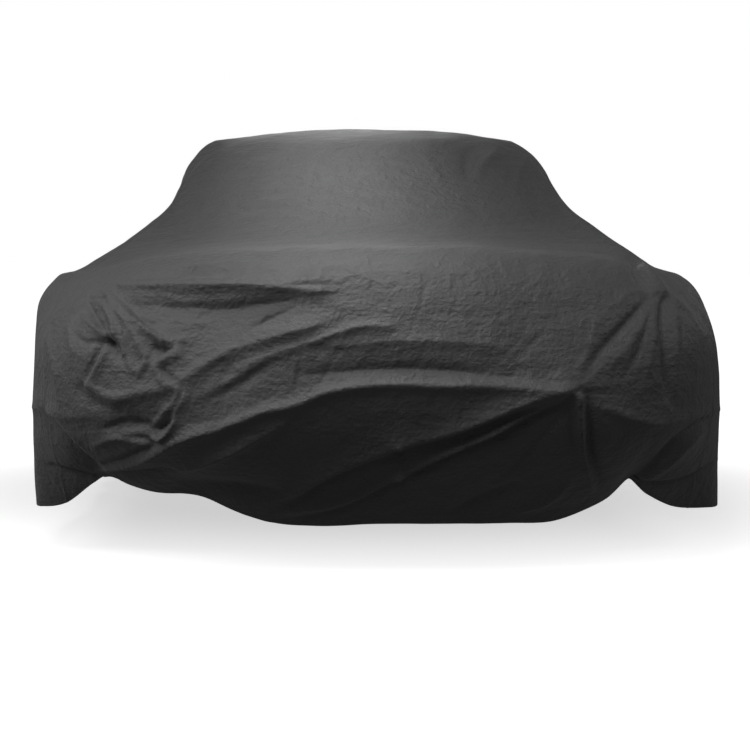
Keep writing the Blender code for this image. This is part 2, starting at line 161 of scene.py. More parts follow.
# %% [markdown]
# ## From lines to a smooth surface
#
# The places of one level, such as all the bellies, are joined into a closed ring round the cover. A cubic
# with the slope of the parabola through three neighbours gives a curve with no kinks. The same cubic then
# runs up through the rings, from the hem to the rail, and over the top.

# %% Smooth curves
def tangents(knots, places):
    """The slope of a smooth curve at each place."""
    steps = np.diff(knots, axis=0)
    rates = np.diff(places, axis=0) / steps
    inner = (rates[1:] * steps[:-1] + rates[:-1] * steps[1:]) / (steps[1:] + steps[:-1])
    return np.concatenate([rates[:1], inner, rates[-1:]])


def hermite(start, end, leave, arrive, part):
    """A cubic from start to end that leaves and arrives with the given slopes, at part of the way."""
    first = (2 * part**3 - 3 * part**2 + 1) * start + (part**3 - 2 * part**2 + part) * leave
    return first + (-2 * part**3 + 3 * part**2) * end + (part**3 - part**2) * arrive


def soft_step(value, low, high):
    """0 below low, 1 above high, and a smooth climb between."""
    part = np.clip((value - low) / (high - low), 0, 1)
    return part * part * (3 - 2 * part)


print("half way between 0 and 1 a level cubic is at", hermite(0, 1, 0, 0, 0.5))

# %% Closed rings
SAME_PLACE = 1e-6  # metres along the ring
OVERLAP = 3  # knots that a closed ring repeats at each of its ends


def table_places(rows, mirror=1):
    """The places of (at, out, back, up) rows in metres, with their places along the ring."""
    table = np.array(rows, float) * MM
    return mirror * table[:, 0], table[:, 1:] * (mirror, 1, 1)


def closed_ring(right, left):
    """Knots and places once round the cover; left gives only what differs from the mirrored right side."""
    right_at, right_places = right
    left_at, left_places = left
    last_left = left_at[-1] if len(left_at) else 0
    beyond = right_at > -last_left + SAME_PLACE
    mirrored = right_places[beyond] * (-1, 1, 1)
    at = np.concatenate([-right_at[beyond][::-1], left_at[::-1], right_at])
    places = np.concatenate([mirrored[::-1], left_places[::-1], right_places])
    before, after = slice(-OVERLAP - 1, -1), slice(1, OVERLAP + 1)
    at = np.concatenate([at[before] - RING, at, at[after] + RING])
    return at, np.concatenate([places[before], places, places[after]])


def ring_at(ring, wanted):
    """Places on a closed ring at the wanted distances along it."""
    knots, places = ring
    slopes = tangents(knots[:, None], places)
    span = np.clip(np.searchsorted(knots, wanted, side="right") - 1, 0, len(knots) - 2)
    length = (knots[span + 1] - knots[span])[:, None]
    part = (wanted - knots[span])[:, None] / length
    return hermite(places[span], places[span + 1], slopes[span] * length, slopes[span + 1] * length, part)


rings = [
    closed_ring(table_places(right_rows), table_places(left_rows, -1))
    for right_rows, left_rows in ((HEM_RIGHT, HEM_LEFT), (TUCK_RIGHT, TUCK_LEFT))
]
NO_ROWS = (np.zeros(0), np.zeros((0, 3)))  # the left side mirrors the right one all the way
for level in range(1, len(LINES[0])):
    rows = [(line[0], *line[level]) for line in LINES]
    rings.append(closed_ring(table_places(rows), NO_ROWS))
print(len(rings), "rings from the hem to the rail")

# %% [markdown]
# ## The skirt
#
# All the cloth from the hem up to the rail is one grid that runs right round the cover. It could be made of
# patches, but one grid has no joins to hide. The nose has the closest columns, because its creases are the
# finest, and a few close columns lie beside each seam.

# %% The grid of the skirt, from the hem to the rail
ROW_SPANS = (62, 26, 36, 30, 28, 38)  # between hem, tuck, belly, shoulder, deck, cowl and rail
NOSE_COLUMNS = 384
SIDE_COLUMNS = 240
TAIL_COLUMNS = 96
TOP_SHARE = (0.45, 0.55)  # what is left of a rail point's way out and of its way back, above the rail


def skirt_grid(stops):
    """Points as rows (up) by columns (round), and the slopes with which they reach the rail."""
    levels = np.array([ring_at(ring, stops) for ring in rings])
    top_back = TOP_PLACE[1] * MM
    middle = np.full_like(levels[-1], TOP_PLACE[2] * MM)
    middle[:, 0] = TOP_SHARE[0] * levels[-1][:, 0]
    middle[:, 1] = top_back + TOP_SHARE[1] * (levels[-1][:, 1] - top_back)
    levels = np.concatenate([levels, middle[None]])
    lengths = np.linalg.norm(np.diff(levels, axis=0), axis=2, keepdims=True)
    knots = np.concatenate([np.zeros_like(lengths[:1]), np.cumsum(lengths, axis=0)])
    slopes = tangents(knots, levels)
    found = []
    for level, count in enumerate(ROW_SPANS):
        leave, arrive = (slopes[level + end] * lengths[level] for end in (0, 1))
        for part in np.arange(count) / count:
            found.append(hermite(levels[level], levels[level + 1], leave, arrive, part))
    found.append(levels[len(ROW_SPANS)])
    return np.array(found), slopes[len(ROW_SPANS)]


SEAM_STEPS = np.array((5, 10, 16, 24, 34, 46))  # mm from a seam: close columns, to carry the sewn ridge
EVEN_FROM = 60  # mm from a seam, beyond which the columns of a side are evenly spaced
even_columns = SIDE_COLUMNS - 2 * len(SEAM_STEPS) - 1
seam_to_seam = np.linspace(NOSE_SEAM + EVEN_FROM, TAIL_SEAM - EVEN_FROM, even_columns)
side_stops = np.concatenate(
    [[NOSE_SEAM], NOSE_SEAM + SEAM_STEPS, seam_to_seam, TAIL_SEAM - SEAM_STEPS[::-1]]
)
nose_stops = np.linspace(-NOSE_SEAM, NOSE_SEAM, NOSE_COLUMNS + 1)
tail_stops = np.linspace(TAIL_SEAM, 2 * HALF_RING - TAIL_SEAM, TAIL_COLUMNS + 1)
right_stops = np.append(side_stops, TAIL_SEAM)[1:]
left_stops = 2 * HALF_RING - right_stops[::-1][1:]
stops = np.concatenate([nose_stops, right_stops, tail_stops[1:], left_stops])
stops = np.where(stops > HALF_RING, stops - 2 * HALF_RING, stops)
skirt, rail_slopes = skirt_grid(stops * MM)
print("skirt:", skirt.shape[0], "rows by", skirt.shape[1], "columns")

# %% [markdown]
# ## Rounder corners
#
# Cloth that is pulled over a corner takes the shortest way and rounds it off. Near the two upper rear
# corners each column is drawn towards its neighbours, a little at a time and many times over, as a
# stretched skin settles. This works on the finished grid, so the tables of lines stay short.

# %% Ease the upper rear corners
EASE_ROUNDS = 1000
EASE_PART = 4  # one round moves a column by one part in so many of its neighbours' pull
EASE_ROWS = (sum(ROW_SPANS[:3]), sum(ROW_SPANS[:4]) + 10)  # grows from the shoulder to 10 rows above the deck
EASE_GROWS, EASE_FADES = (2900, 3800), (5200, 5800)  # mm along the ring


def eased(values, weight):
    """The values with each column drawn towards its two neighbours, again and again."""
    for _ in range(EASE_ROUNDS):
        pull = np.roll(values, 1, axis=-2) + np.roll(values, -1, axis=-2) - 2 * values
        values = values + weight * pull / EASE_PART
    return values


from_nose = np.abs(stops)
near_corner = (soft_step(from_nose, *EASE_GROWS) * (1 - soft_step(from_nose, *EASE_FADES)))[:, None]
high_up = soft_step(np.arange(skirt.shape[0], dtype=float), *EASE_ROWS)[:, None, None]
plain_skirt = skirt
skirt = eased(plain_skirt, high_up * near_corner)
rail_slopes = eased(rail_slopes, near_corner)
print("rear corners move by up to", (np.abs(skirt - plain_skirt).max() / MM).round(), "mm one way")

# %% [markdown]
# ## The top
#
# Between the rails the cloth is a shallow crown. Its rows run back from the front rail to the rear one with
# the slope that the skirt has there, and bend out sideways to meet the two side rails.

# %% The grid of the top
TOP_BULGE = 1.05  # how strongly the crown keeps the slope of its rails
TOP_BEND, TAIL_BEND = 6, 2.5  # how late the top turns down to its rail, at the nose and at the tail
COARSE = 4  # the top has one column for so many of the nose's, and one row for so many of a side's columns

nose = np.arange(NOSE_COLUMNS + 1)
right = np.arange(NOSE_COLUMNS, NOSE_COLUMNS + SIDE_COLUMNS + 1)
tail = np.arange(right[-1], right[-1] + TAIL_COLUMNS + 1)
left = np.append(np.arange(tail[-1], tail[-1] + SIDE_COLUMNS), 0)
front_rail, rear_rail = nose[::COARSE], tail[::-1]
right_rail, left_rail = right[::COARSE], left[::-COARSE]


def top_grid():
    """Points of the top between the rails: rows run back, columns from left to right."""
    front, rear = skirt[-1][front_rail], skirt[-1][rear_rail]
    length = np.linalg.norm(rear - front, axis=1, keepdims=True) * TOP_BULGE
    leave, arrive = rail_slopes[front_rail] * length, -rail_slopes[rear_rail] * length
    across = np.linspace(-1, 1, len(front_rail))[:, None]
    found = []
    walked = np.linspace(0, 1, len(right_rail))
    for part, at_right, at_left in zip(walked, right_rail, left_rail):
        line = hermite(front, rear, leave, arrive, part)
        drawn = np.where(across > 0, skirt[-1][at_right] - line[-1], skirt[-1][at_left] - line[0])
        bend = TOP_BEND + (TAIL_BEND - TOP_BEND) * part
        found.append(line + np.abs(across) ** bend * drawn)
    return np.array(found)


top = top_grid()
print("top:", top.shape[0], "rows by", top.shape[1], "columns")

# %% [markdown]
# ## Folds
#
# A fold is a line drawn on the cloth and how far the cloth stands up or sinks beside it. Near the line the
# slope is rounded over a small core, and beyond it dies out evenly, which looks like a real crease: a sharp
# back with slack flanks. The folds of the front were read off the photograph and stand here in its
# pixels, as (right, down) from its upper left corner. The next cell turns them into places on an upright
# plane at the nose. Those of the other faces are drawn flat in mm: the sides as (back, up), the tail as
# (out, up), the top as (out, back).
#
# Each row gives the height in mm at the line's start, middle and end, where less than 0 is a trough, how
# far the slope reaches to the left and right hand of one who walks along the line, the core, and the line
# itself.

# %% Scale of the front drawing
PHOTO_WIDTH = 750  # the photograph is square, in pixels
ASIDE_PIXELS, BELOW_PIXELS = 2, 167  # how far the straight view lies from the picture's middle
FOCAL_PIXELS = 2736  # its focal length, in pixels
PIXELS_A_MM = FOCAL_PIXELS / round(-EYE[1] / MM)  # at the nose
MIDDLE_PIXEL, LEVEL_PIXEL = PHOTO_WIDTH / 2 + ASIDE_PIXELS, PHOTO_WIDTH / 2 - BELOW_PIXELS


def on_nose_plane(line):
    """A line of (right, down) pixels as (across, up) on the upright plane at the nose, in whole mm."""
    return tuple(
        (round((along - MIDDLE_PIXEL) / PIXELS_A_MM), round(EYE[2] / MM + (LEVEL_PIXEL - down) / PIXELS_A_MM))
        for along, down in line
    )


print("one pixel is", round(1 / PIXELS_A_MM, 2), "mm at the nose")

# %% Folds of the front
FRONT_DRAWING = (
    # name, (start, middle, end), left reach, right reach, core, line
    ("long_ridge", (4, 9, 5), 8, 14, 2,
     ((236, 367), (262, 358), (300, 346), (335, 334), (362, 327), (392, 327))),
    ("long_ridge_end", (3, 9, 3), 24, 16, 4, ((330, 335), (362, 327), (394, 328))),
    ("upper_ridge", (6, 15, 4), 26, 12, 3, ((252, 346), (275, 337), (298, 331), (330, 320))),
    ("left_band_ridge", (8, 16, 7), 26, 13, 3, ((180, 381), (203, 367), (228, 353), (252, 344))),
    ("low_lens", (-4, -10, -3), 7, 16, 3, ((203, 403), (235, 387), (262, 368), (283, 358))),
    ("low_lens_ridge", (3, 7, 3), 14, 6, 2.5, ((206, 394), (232, 380), (260, 363))),
    ("upper_crease", (-3, -8, -2), 5, 12, 2, ((248, 329), (272, 316), (298, 304))),
    ("bumper_edge", (14, 27, 15), 10, 18, 6,
     ((103, 470), (140, 460), (175, 441), (222, 426), (262, 411), (300, 402), (322, 393), (350, 387), (390,
      384), (440, 385), (490, 386), (535, 389), (572, 393))),
    ("band_ridge", (3, 10, 3), 26, 14, 4, ((335, 346), (380, 342), (440, 342), (508, 347))),
    ("band_trough", (-5, -14, -5), 16, 7, 3, ((300, 376), (350, 371), (400, 369), (450, 371), (510, 377))),
    ("pinch_long", (-16, -24, -16), 9, 12, 2, ((568, 398), (535, 409), (500, 422), (450, 441), (400, 455))),
    ("pinch_long_ridge", (20, 26, 16), 11, 24, 2.5,
     ((566, 391), (535, 400), (500, 413), (450, 431), (400, 446))),
    ("pinch_low", (-16, -24, -16), 9, 12, 2, ((566, 404), (540, 416), (500, 438), (450, 458), (400, 483))),
    ("pinch_low_ridge", (24, 34, 22), 14, 16, 2.5,
     ((562, 400), (540, 408), (500, 428), (450, 449), (400, 473))),
    ("pinch_low_far_ridge", (22, 20, 5), 14, 16, 2.5, ((400, 473), (350, 496), (315, 505), (270, 514))),
    ("pinch_low_far", (-16, -16, -4), 9, 12, 2, ((400, 483), (350, 506), (315, 515), (275, 521))),
    ("pinch_long_far_ridge", (16, 18, 5), 11, 24, 2.5,
     ((400, 446), (350, 464), (320, 477), (300, 489), (268, 505))),
    ("pinch_long_far", (-16, -18, -6), 9, 12, 2,
     ((400, 455), (350, 473), (320, 487), (300, 500), (272, 513))),
    ("pinch_third", (-5, -9, -1), 7, 17, 3, ((570, 408), (545, 437), (515, 468), (480, 490))),
    ("pinch_down_ridge", (16, 18, 6), 8, 8, 3, ((579, 398), (581, 430), (584, 458), (592, 489))),
    ("pinch_down", (-10, -20, -5), 7, 10, 3, ((589, 400), (592, 425), (592, 450), (602, 480))),
    ("pinch_down_left", (-4, -8, -3), 12, 8, 3, ((574, 404), (573, 430), (576, 460))),
    ("pinch_right_ray", (5, 3, 1), 8, 8, 2, ((584, 388), (600, 386), (618, 383))),
    ("pinch_right_ray_low", (-4, -2, -1), 5, 9, 2, ((586, 393), (604, 392), (622, 392))),
    ("pinch_upper_ray", (4, 3, 1), 7, 7, 2, ((584, 384), (598, 371), (612, 356))),
    ("pinch_up_ridge", (2, 4, 2), 11, 11, 3, ((578, 386), (582, 366), (590, 345), (596, 320))),
    ("pinch_up_trough", (-1, -2, -1), 8, 12, 3, ((586, 384), (592, 366), (600, 345), (606, 325))),
    ("pinch_fringe_a", (-3, -2, 0), 5, 5, 2, ((566, 388), (552, 382), (538, 378))),
    ("pinch_fringe_b", (3, 2, 0), 5, 5, 2, ((566, 392), (550, 388), (534, 386))),
    ("right_arc", (2, 5, 3), 8, 8, 3,
     ((613, 306), (623, 297), (637, 291), (652, 290), (667, 294), (681, 304), (693, 317), (703, 335))),
    ("fan_a", (-6, -18, -5), 18, 9, 5, ((648, 300), (636, 312), (620, 330), (604, 348), (590, 368))),
    ("fan_a_ridge", (3, 5, 3), 10, 10, 4, ((654, 302), (643, 322), (628, 345), (608, 370))),
    ("fan_b", (-3, -9, -3), 6, 8, 4, ((650, 312), (645, 335), (637, 357), (624, 380))),
    ("fan_b_ridge", (3, 5, 3), 8, 8, 4, ((657, 302), (655, 330), (650, 360), (643, 390))),
    ("fan_c", (-12, -24, -10), 12, 8, 5, ((664, 300), (663, 320), (667, 342), (668, 372), (671, 400))),
    ("fan_c_ridge", (4, 8, 4), 8, 11, 4, ((674, 303), (677, 330), (678, 360), (677, 398))),
    ("fan_d", (-3, -6, -3), 7, 7, 3, ((682, 322), (684, 345), (684, 372))),
    ("right_corner_fold", (-22, -32, -12), 12, 12, 4, ((634, 264), (642, 277), (650, 291))),
    ("right_corner_ridge", (11, 15, 6), 8, 8, 3, ((642, 264), (653, 277), (664, 290))),
    ("right_shelf", (4, 13, 8), 20, 11, 5,
     ((592, 406), (615, 412), (634, 419), (655, 424), (682, 420), (712, 412))),
    ("right_tension", (-14, -20, -10), 6, 16, 2.5, ((704, 420), (680, 441), (655, 465), (634, 483))),
    ("right_tension_ridge", (8, 12, 5), 10, 8, 3, ((704, 430), (684, 450), (662, 470), (645, 482))),
    ("right_flap", (-10, -18, -8), 5, 12, 2.5, ((634, 482), (665, 485), (692, 479), (714, 465))),
    ("left_shelf", (8, 12, 3), 26, 10, 5, ((36, 409), (50, 413), (65, 416), (92, 416))),
    ("left_tension", (-11, -18, -11), 6, 16, 2.5, ((44, 412), (60, 434), (76, 452), (103, 471))),
    ("left_tension_ridge", (7, 12, 8), 17, 8, 4, ((52, 412), (70, 432), (86, 449), (108, 466))),
    ("left_flap", (-9, -15, -7), 5, 12, 2.5, ((50, 466), (64, 472), (80, 476), (100, 478))),
    ("lip_ridge", (4, 12, 3), 22, 5, 2, ((130, 279), (175, 273), (205, 270), (235, 270), (268, 268))),
    ("lip_crease", (-8, -17, -4), 4, 8, 2, ((135, 281), (175, 277), (205, 274), (235, 274), (266, 272))),
    ("lip_lower_ridge", (12, 25, 10), 28, 12, 3,
     ((112, 286), (160, 287), (205, 288), (250, 289), (287, 290), (320, 292))),
    ("lens_trough", (-8, -22, -8), 10, 80, 4, ((118, 300), (160, 304), (215, 306), (262, 303), (300, 297))),
    ("second_crease", (-2, -4, -1), 3, 6, 1.5, ((284, 288), (310, 285), (344, 284))),
    ("second_ridge", (1, 2, 1), 10, 4, 2, ((284, 284), (310, 281), (344, 280))),
    ("short_ridge_a", (2, 4, 2), 7, 5, 2, ((114, 298), (138, 302), (162, 305))),
    ("short_ridge_b", (2, 5, 2), 8, 5, 2, ((164, 295), (180, 301), (194, 309), (208, 308))),
    ("short_ridge_c", (2, 4, 2), 8, 5, 2, ((206, 303), (230, 301), (258, 304))),
    ("short_ridge_d", (2, 4, 1), 8, 5, 2, ((170, 318), (196, 322), (222, 318))),
    ("short_ridge_e", (2, 3, 1), 7, 5, 2, ((150, 306), (176, 318), (190, 330))),
    ("slanted_crease", (-1, -2, -1), 4, 5, 1.5, ((432, 270), (424, 294), (415, 320), (404, 350))),
    ("slanted_ridge", (0, 1, 0), 5, 5, 1.5, ((436, 270), (428, 294), (419, 320), (408, 350))),
    ("fine_a", (-2, -4, -1), 4, 5, 1.5, ((302, 348), (299, 370), (295, 392))),
    ("fine_b", (-2, -4, -1), 4, 5, 1.5, ((338, 352), (322, 380), (304, 408))),
    ("fine_c", (-2, -3, -1), 4, 5, 1.5, ((337, 338), (346, 355), (356, 374))),
    ("fine_d", (-1, -3, -1), 4, 5, 1.5, ((264, 372), (270, 386), (277, 400))),
    ("fine_e", (-1, -2, -1), 4, 4, 1.5, ((494, 366), (508, 352), (520, 338))),
    ("fine_f", (-1, -2, -1), 4, 4, 1.5, ((505, 369), (518, 355), (530, 342))),
    ("fine_g", (-1, -2, -1), 4, 4, 1.5, ((516, 366), (528, 350), (540, 334))),
    ("fine_h", (-1, -2, -1), 4, 4, 1.5, ((530, 346), (540, 336), (548, 326))),
    ("fine_i", (-1, -3, -1), 4, 4, 1.5, ((232, 382), (224, 396), (222, 412))),
    ("fine_j", (1, 3, 1), 6, 4, 1.5, ((206, 402), (222, 398), (240, 386))),
    ("rim_ridge", (10, 18, 6), 12, 9, 3,
     ((77, 301), (62, 313), (54, 326), (51, 343), (54, 362), (58, 384), (62, 406))),
    ("rim_second", (3, 8, 3), 6, 6, 3, ((84, 304), (73, 318), (69, 335), (72, 352))),
    ("lamp_star_a", (-11, -20, -17), 6, 6, 1.5, ((88, 304), (95, 318), (103, 332), (108, 340))),
    ("lamp_pocket", (-11, -25, -11), 9, 9, 3, ((107, 339), (113, 346), (118, 353))),
    ("lamp_star_b", (-13, -14, -4), 6, 6, 1.5, ((114, 352), (121, 360), (126, 356))),
    ("lamp_star_c", (-4, -11, -13), 6, 7, 2, ((74, 336), (86, 342), (98, 341), (107, 340))),
    ("lamp_star_d", (-17, -14, -6), 6, 6, 1.5, ((108, 341), (99, 346), (93, 360), (81, 385))),
    ("lamp_star_e", (4, 11, 6), 8, 8, 2, ((107, 292), (112, 306), (126, 322), (124, 340), (120, 356))),
    ("lamp_ridge_a", (6, 17, 14), 9, 5, 2, ((97, 300), (108, 313), (113, 326), (114, 338))),
    ("lamp_ridge_b", (6, 15, 15), 7, 7, 3, ((86, 318), (94, 326), (102, 332), (110, 336))),
    ("lamp_ridge_c", (11, 13, 4), 9, 5, 2, ((106, 350), (100, 362), (94, 374), (86, 390))),
    ("lamp_facet", (8, 24, 10), 5, 16, 2,
     ((107, 292), (120, 304), (131, 315), (147, 328), (158, 337), (170, 342), (180, 339))),
    ("lamp_pocket_a", (-7, -18, -8), 9, 4, 2, ((128, 310), (137, 317), (147, 325), (156, 331))),
    ("beak_edge", (4, 11, 4), 6, 6, 2, ((160, 360), (167, 352), (176, 346), (186, 338))),
    ("beak_pocket", (-11, -27, -8), 6, 11, 3, ((154, 343), (160, 350), (167, 348), (178, 342))),
    ("beak_lower", (8, 14, 6), 9, 7, 2.5, ((154, 364), (161, 361), (171, 356), (184, 352))),
    ("face_ridge", (4, 13, 6), 6, 12, 2, ((128, 322), (139, 345), (146, 360), (137, 372), (124, 358))),
    ("low_crease_a", (-7, -15, -7), 4, 8, 1.5, ((156, 363), (164, 371), (172, 379), (180, 386))),
    ("low_ridge_a", (7, 14, 7), 6, 12, 2, ((154, 367), (160, 375), (168, 384), (177, 389))),
    ("crumple_edge", (6, 10, 6), 10, 6, 2.5, ((186, 390), (183, 400), (176, 412), (170, 428), (160, 438))),
    ("crumple_face_top", (6, 15, 6), 20, 14, 3, ((112, 401), (132, 395), (152, 391), (176, 387))),
    ("crumple_face", (-8, -20, -8), 40, 10, 4, ((114, 430), (134, 428), (150, 421), (166, 410))),
    ("crumple_bright", (6, 17, 7), 7, 5, 2, ((142, 420), (153, 422), (164, 412), (174, 402), (178, 392))),
    ("crumple_pocket_c", (-7, -20, -7), 6, 8, 2.5, ((146, 430), (156, 431), (166, 425), (172, 417))),
    ("crumple_ridge_c", (6, 15, 6), 5, 5, 2, ((150, 439), (160, 438), (168, 431), (174, 422))),
    ("crumple_pocket_d", (-4, -11, -6), 6, 7, 2.5, ((112, 432), (126, 438), (142, 439), (158, 444))),
    ("left_face_a", (-6, -13, -6), 7, 10, 3, ((78, 388), (90, 400), (104, 408), (120, 412))),
    ("left_face_b", (6, 13, 6), 8, 7, 3, ((82, 380), (96, 391), (112, 398), (128, 398))),
    ("left_face_c", (-6, -13, -6), 7, 8, 3, ((104, 430), (118, 424), (132, 424), (146, 428))),
    ("left_face_d", (6, 13, 6), 8, 7, 3, ((96, 444), (114, 438), (130, 440), (148, 446))),
    ("smile_crease", (-6, -11, -4), 5, 8, 2.5, ((104, 462), (122, 458), (142, 450), (160, 442))),
    ("low_fold_a", (2, 7, 2), 20, 10, 5, ((280, 498), (327, 477), (390, 458))),
    ("low_fold_b", (2, 7, 2), 20, 10, 5, ((277, 520), (350, 503), (390, 486))),
    ("low_fold_c", (-13, -25, -10), 18, 17, 6, ((185, 486), (235, 492), (284, 494))),
    ("low_fold_d", (10, 21, 10), 18, 8, 5, ((180, 470), (215, 458), (250, 440), (282, 424))),
    ("low_fold_e", (-6, -15, -6), 11, 10, 4, ((455, 512), (484, 499), (516, 484))),
    ("low_fold_f", (6, 15, 6), 11, 7, 4, ((520, 512), (548, 500), (570, 484))),
    ("under_left", (-13, -20, -7), 7, 10, 3, ((112, 472), (140, 473), (172, 471))),
    ("screen_arc", (-6, -15, -5), 12, 10, 4, ((472, 150), (466, 160), (466, 172), (472, 183))),
    ("screen_arc_ridge", (5, 13, 5), 9, 12, 4, ((496, 154), (488, 164), (480, 172), (474, 181))),
    ("screen_low", (-3, -8, -3), 6, 9, 3, ((468, 205), (476, 212), (486, 219))),
    ("screen_bump", (3, 10, 3), 12, 10, 4, ((512, 212), (523, 211), (534, 213))),
    ("screen_a", (2, 6, 2), 10, 8, 3, ((226, 148), (214, 164), (205, 184))),
    ("screen_b", (2, 6, 2), 10, 8, 3, ((262, 144), (246, 158), (232, 176))),
    ("screen_c", (2, 5, 2), 8, 8, 3, ((420, 152), (432, 166), (440, 184))),
    ("screen_d", (2, 6, 2), 8, 8, 3, ((528, 158), (520, 172), (515, 190))),
    ("screen_e", (2, 5, 2), 8, 8, 3, ((330, 150), (316, 166), (310, 186))),
    ("left_pillar", (2, 6, 1), 90, 24, 8, ((248, 138), (225, 150), (205, 165), (184, 184), (166, 202))),
    ("right_pillar", (4, 14, 4), 50, 90, 14, ((468, 140), (482, 160), (502, 184), (528, 206))),
)
FRONT_FOLDS = [(*fold[:-1], on_nose_plane(fold[-1])) for fold in FRONT_DRAWING]
print(len(FRONT_FOLDS), "folds drawn on the front")

# %% Folds of the other faces
RIGHT_FOLDS = (
    ("wing_pull", (-5, -19, -8), 80, 60, 20, ((1180, 690), (1600, 560), (2050, 360))),
    ("door_swag", (5, 22, 8), 90, 60, 20, ((1250, 480), (1800, 430), (2450, 540))),
    ("sill_swag", (-8, -19, -5), 80, 80, 20, ((1450, 250), (2150, 300), (2900, 240))),
    ("haunch_pull", (-8, -22, -5), 70, 90, 20, ((3750, 690), (3350, 520), (2850, 330))),
    ("haunch_ridge", (11, 19, 8), 90, 60, 20, ((3800, 560), (3400, 400), (3050, 220))),
    ("window_pull", (-5, -16, -5), 70, 70, 20, ((1800, 900), (2250, 980), (2750, 1090))),
    ("tail_pull", (-5, -19, -8), 70, 70, 20, ((4150, 700), (3950, 480), (3880, 260))),
)
LEFT_FOLDS = (
    ("wing_slack", (14, 38, 10), 120, 110, 20, ((700, 690), (950, 715), (1250, 700))),
    ("wing_pull", (-7, -19, -5), 70, 80, 20, ((1250, 640), (1700, 470), (2250, 330))),
    ("door_swag", (7, 17, 5), 90, 70, 20, ((1500, 560), (2100, 490), (2700, 580))),
    ("sill_swag", (-5, -17, -7), 90, 80, 20, ((1350, 300), (1900, 230), (2700, 290))),
    ("haunch_pull", (-5, -19, -7), 80, 70, 20, ((3700, 720), (3200, 560), (2750, 420))),
    ("haunch_ridge", (7, 19, 7), 80, 70, 20, ((3850, 520), (3500, 360), (3250, 200))),
    ("window_pull", (-5, -14, -5), 80, 60, 20, ((1950, 930), (2450, 960), (2950, 1060))),
    ("tail_pull", (-7, -14, -5), 70, 70, 20, ((4180, 640), (4000, 430), (3950, 240))),
)
TAIL_FOLDS = (
    ("lid_swag", (6, 26, 6), 90, 60, 20, ((-620, 700), (-40, 600), (560, 720))),
    ("bumper_swag", (-10, -26, -10), 70, 90, 20, ((-700, 560), (60, 440), (680, 540))),
    ("left_pull", (13, 22, 6), 70, 60, 20, ((-760, 620), (-480, 420), (-300, 240))),
    ("right_pull", (-10, -22, -6), 60, 70, 20, ((770, 600), (520, 380), (380, 230))),
)
TOP_FOLDS = (
    ("rear_screen_sag", (-4, -14, -4), 160, 160, 40, ((-380, 3320), (20, 3260), (400, 3340))),
    ("deck_crease", (4, 12, 4), 90, 90, 20, ((-520, 3900), (-60, 3780), (480, 3860))),
    ("roof_crease", (-3, -8, -3), 90, 90, 20, ((-300, 2460), (60, 2620), (330, 2560))),
)
print(len(RIGHT_FOLDS + LEFT_FOLDS + TAIL_FOLDS + TOP_FOLDS), "folds on the other faces")

# %% [markdown]
# ## What a fold does to the cloth
#
# Each point of the cloth looks for the nearest place on the fold's line. How far along the line that place
# is gives the height, and how far away it is tells how much of the height is left. A fold only works on the
# points near it, which keeps the work short.

# %% The line of a fold
LINE_PIECES = 6  # short straight pieces between two places of a line


def smooth_line(points):
    """A finer line through a fold's own points, in metres."""
    points = np.array(points, float) * MM
    knots = np.concatenate([[0], np.cumsum(np.linalg.norm(np.diff(points, axis=0), axis=1))])[:, None]
    slopes = tangents(knots, points)
    steps = np.diff(knots, axis=0)
    fine = []
    for span in range(len(points) - 1):
        leave, arrive = (slopes[span + end] * steps[span] for end in (0, 1))
        for part in np.arange(LINE_PIECES) / LINE_PIECES:
            fine.append(hermite(points[span], points[span + 1], leave, arrive, part))
    return np.array(fine + [points[-1]])


print("the longest line has", max(len(smooth_line(fold[-1])) for fold in FRONT_FOLDS), "points")


# %% The height beside its line
def fold_height(spots, heights, left_reach, right_reach, core, line):
    """How far one fold lifts the cloth at each drawn spot."""
    line = smooth_line(line)
    walked = np.concatenate([[0], np.cumsum(np.linalg.norm(np.diff(line, axis=0), axis=1))])
    nearest = np.full(len(spots), np.inf)
    reached, hand = np.zeros(len(spots)), np.zeros(len(spots))
    for start, end, before, after in zip(line[:-1], line[1:], walked[:-1], walked[1:]):
        way, offset = end - start, spots - start
        part = np.clip((offset @ way) / (way @ way), 0, 1)
        gap = np.linalg.norm(offset - part[:, None] * way, axis=1)
        closer = gap < nearest
        nearest = np.where(closer, gap, nearest)
        reached = np.where(closer, (before + part * (after - before)) / walked[-1], reached)
        hand = np.where(closer, way[0] * offset[:, 1] - way[1] * offset[:, 0], hand)
    first, middle, last = heights
    height = first * (1 - reached) * (1 - 2 * reached) + 4 * middle * reached * (1 - reached)
    height = height + last * reached * (2 * reached - 1)
    reach = np.where(hand > 0, left_reach, right_reach) * MM
    rounded = np.sqrt(nearest**2 + (core * MM) ** 2) - core * MM
    return height * MM * np.exp(-rounded / reach)


BESIDE = 0.01  # metres
crease = fold_height(np.array([(0.1, BESIDE)]), (10, 10, 10), 10, 10, 2, ((0, 0), (200, 0)))[0]
print("of a crease of 10 mm,", (crease / MM).round(1), "mm are left", round(BESIDE / MM), "mm beside it")

# %% All folds of a table
FAR = 4.5  # reaches beyond which a fold is no longer felt


def lifted_by(folds, spots, wanted):
    """How far a table of folds lifts the cloth, worked out for the wanted spots near each fold."""
    lift = np.zeros(len(spots))
    numbers = np.flatnonzero(wanted)
    for _, heights, left_reach, right_reach, core, line in folds:
        margin = (FAR * max(left_reach, right_reach) + core) * MM
        low, high = np.min(line, axis=0) * MM - margin, np.max(line, axis=0) * MM + margin
        near = numbers[np.all((spots[numbers] > low) & (spots[numbers] < high), axis=1)]
        lift[near] += fold_height(spots[near], heights, left_reach, right_reach, core, line)
    return lift


print("folds are felt up to", FAR, "reaches away")


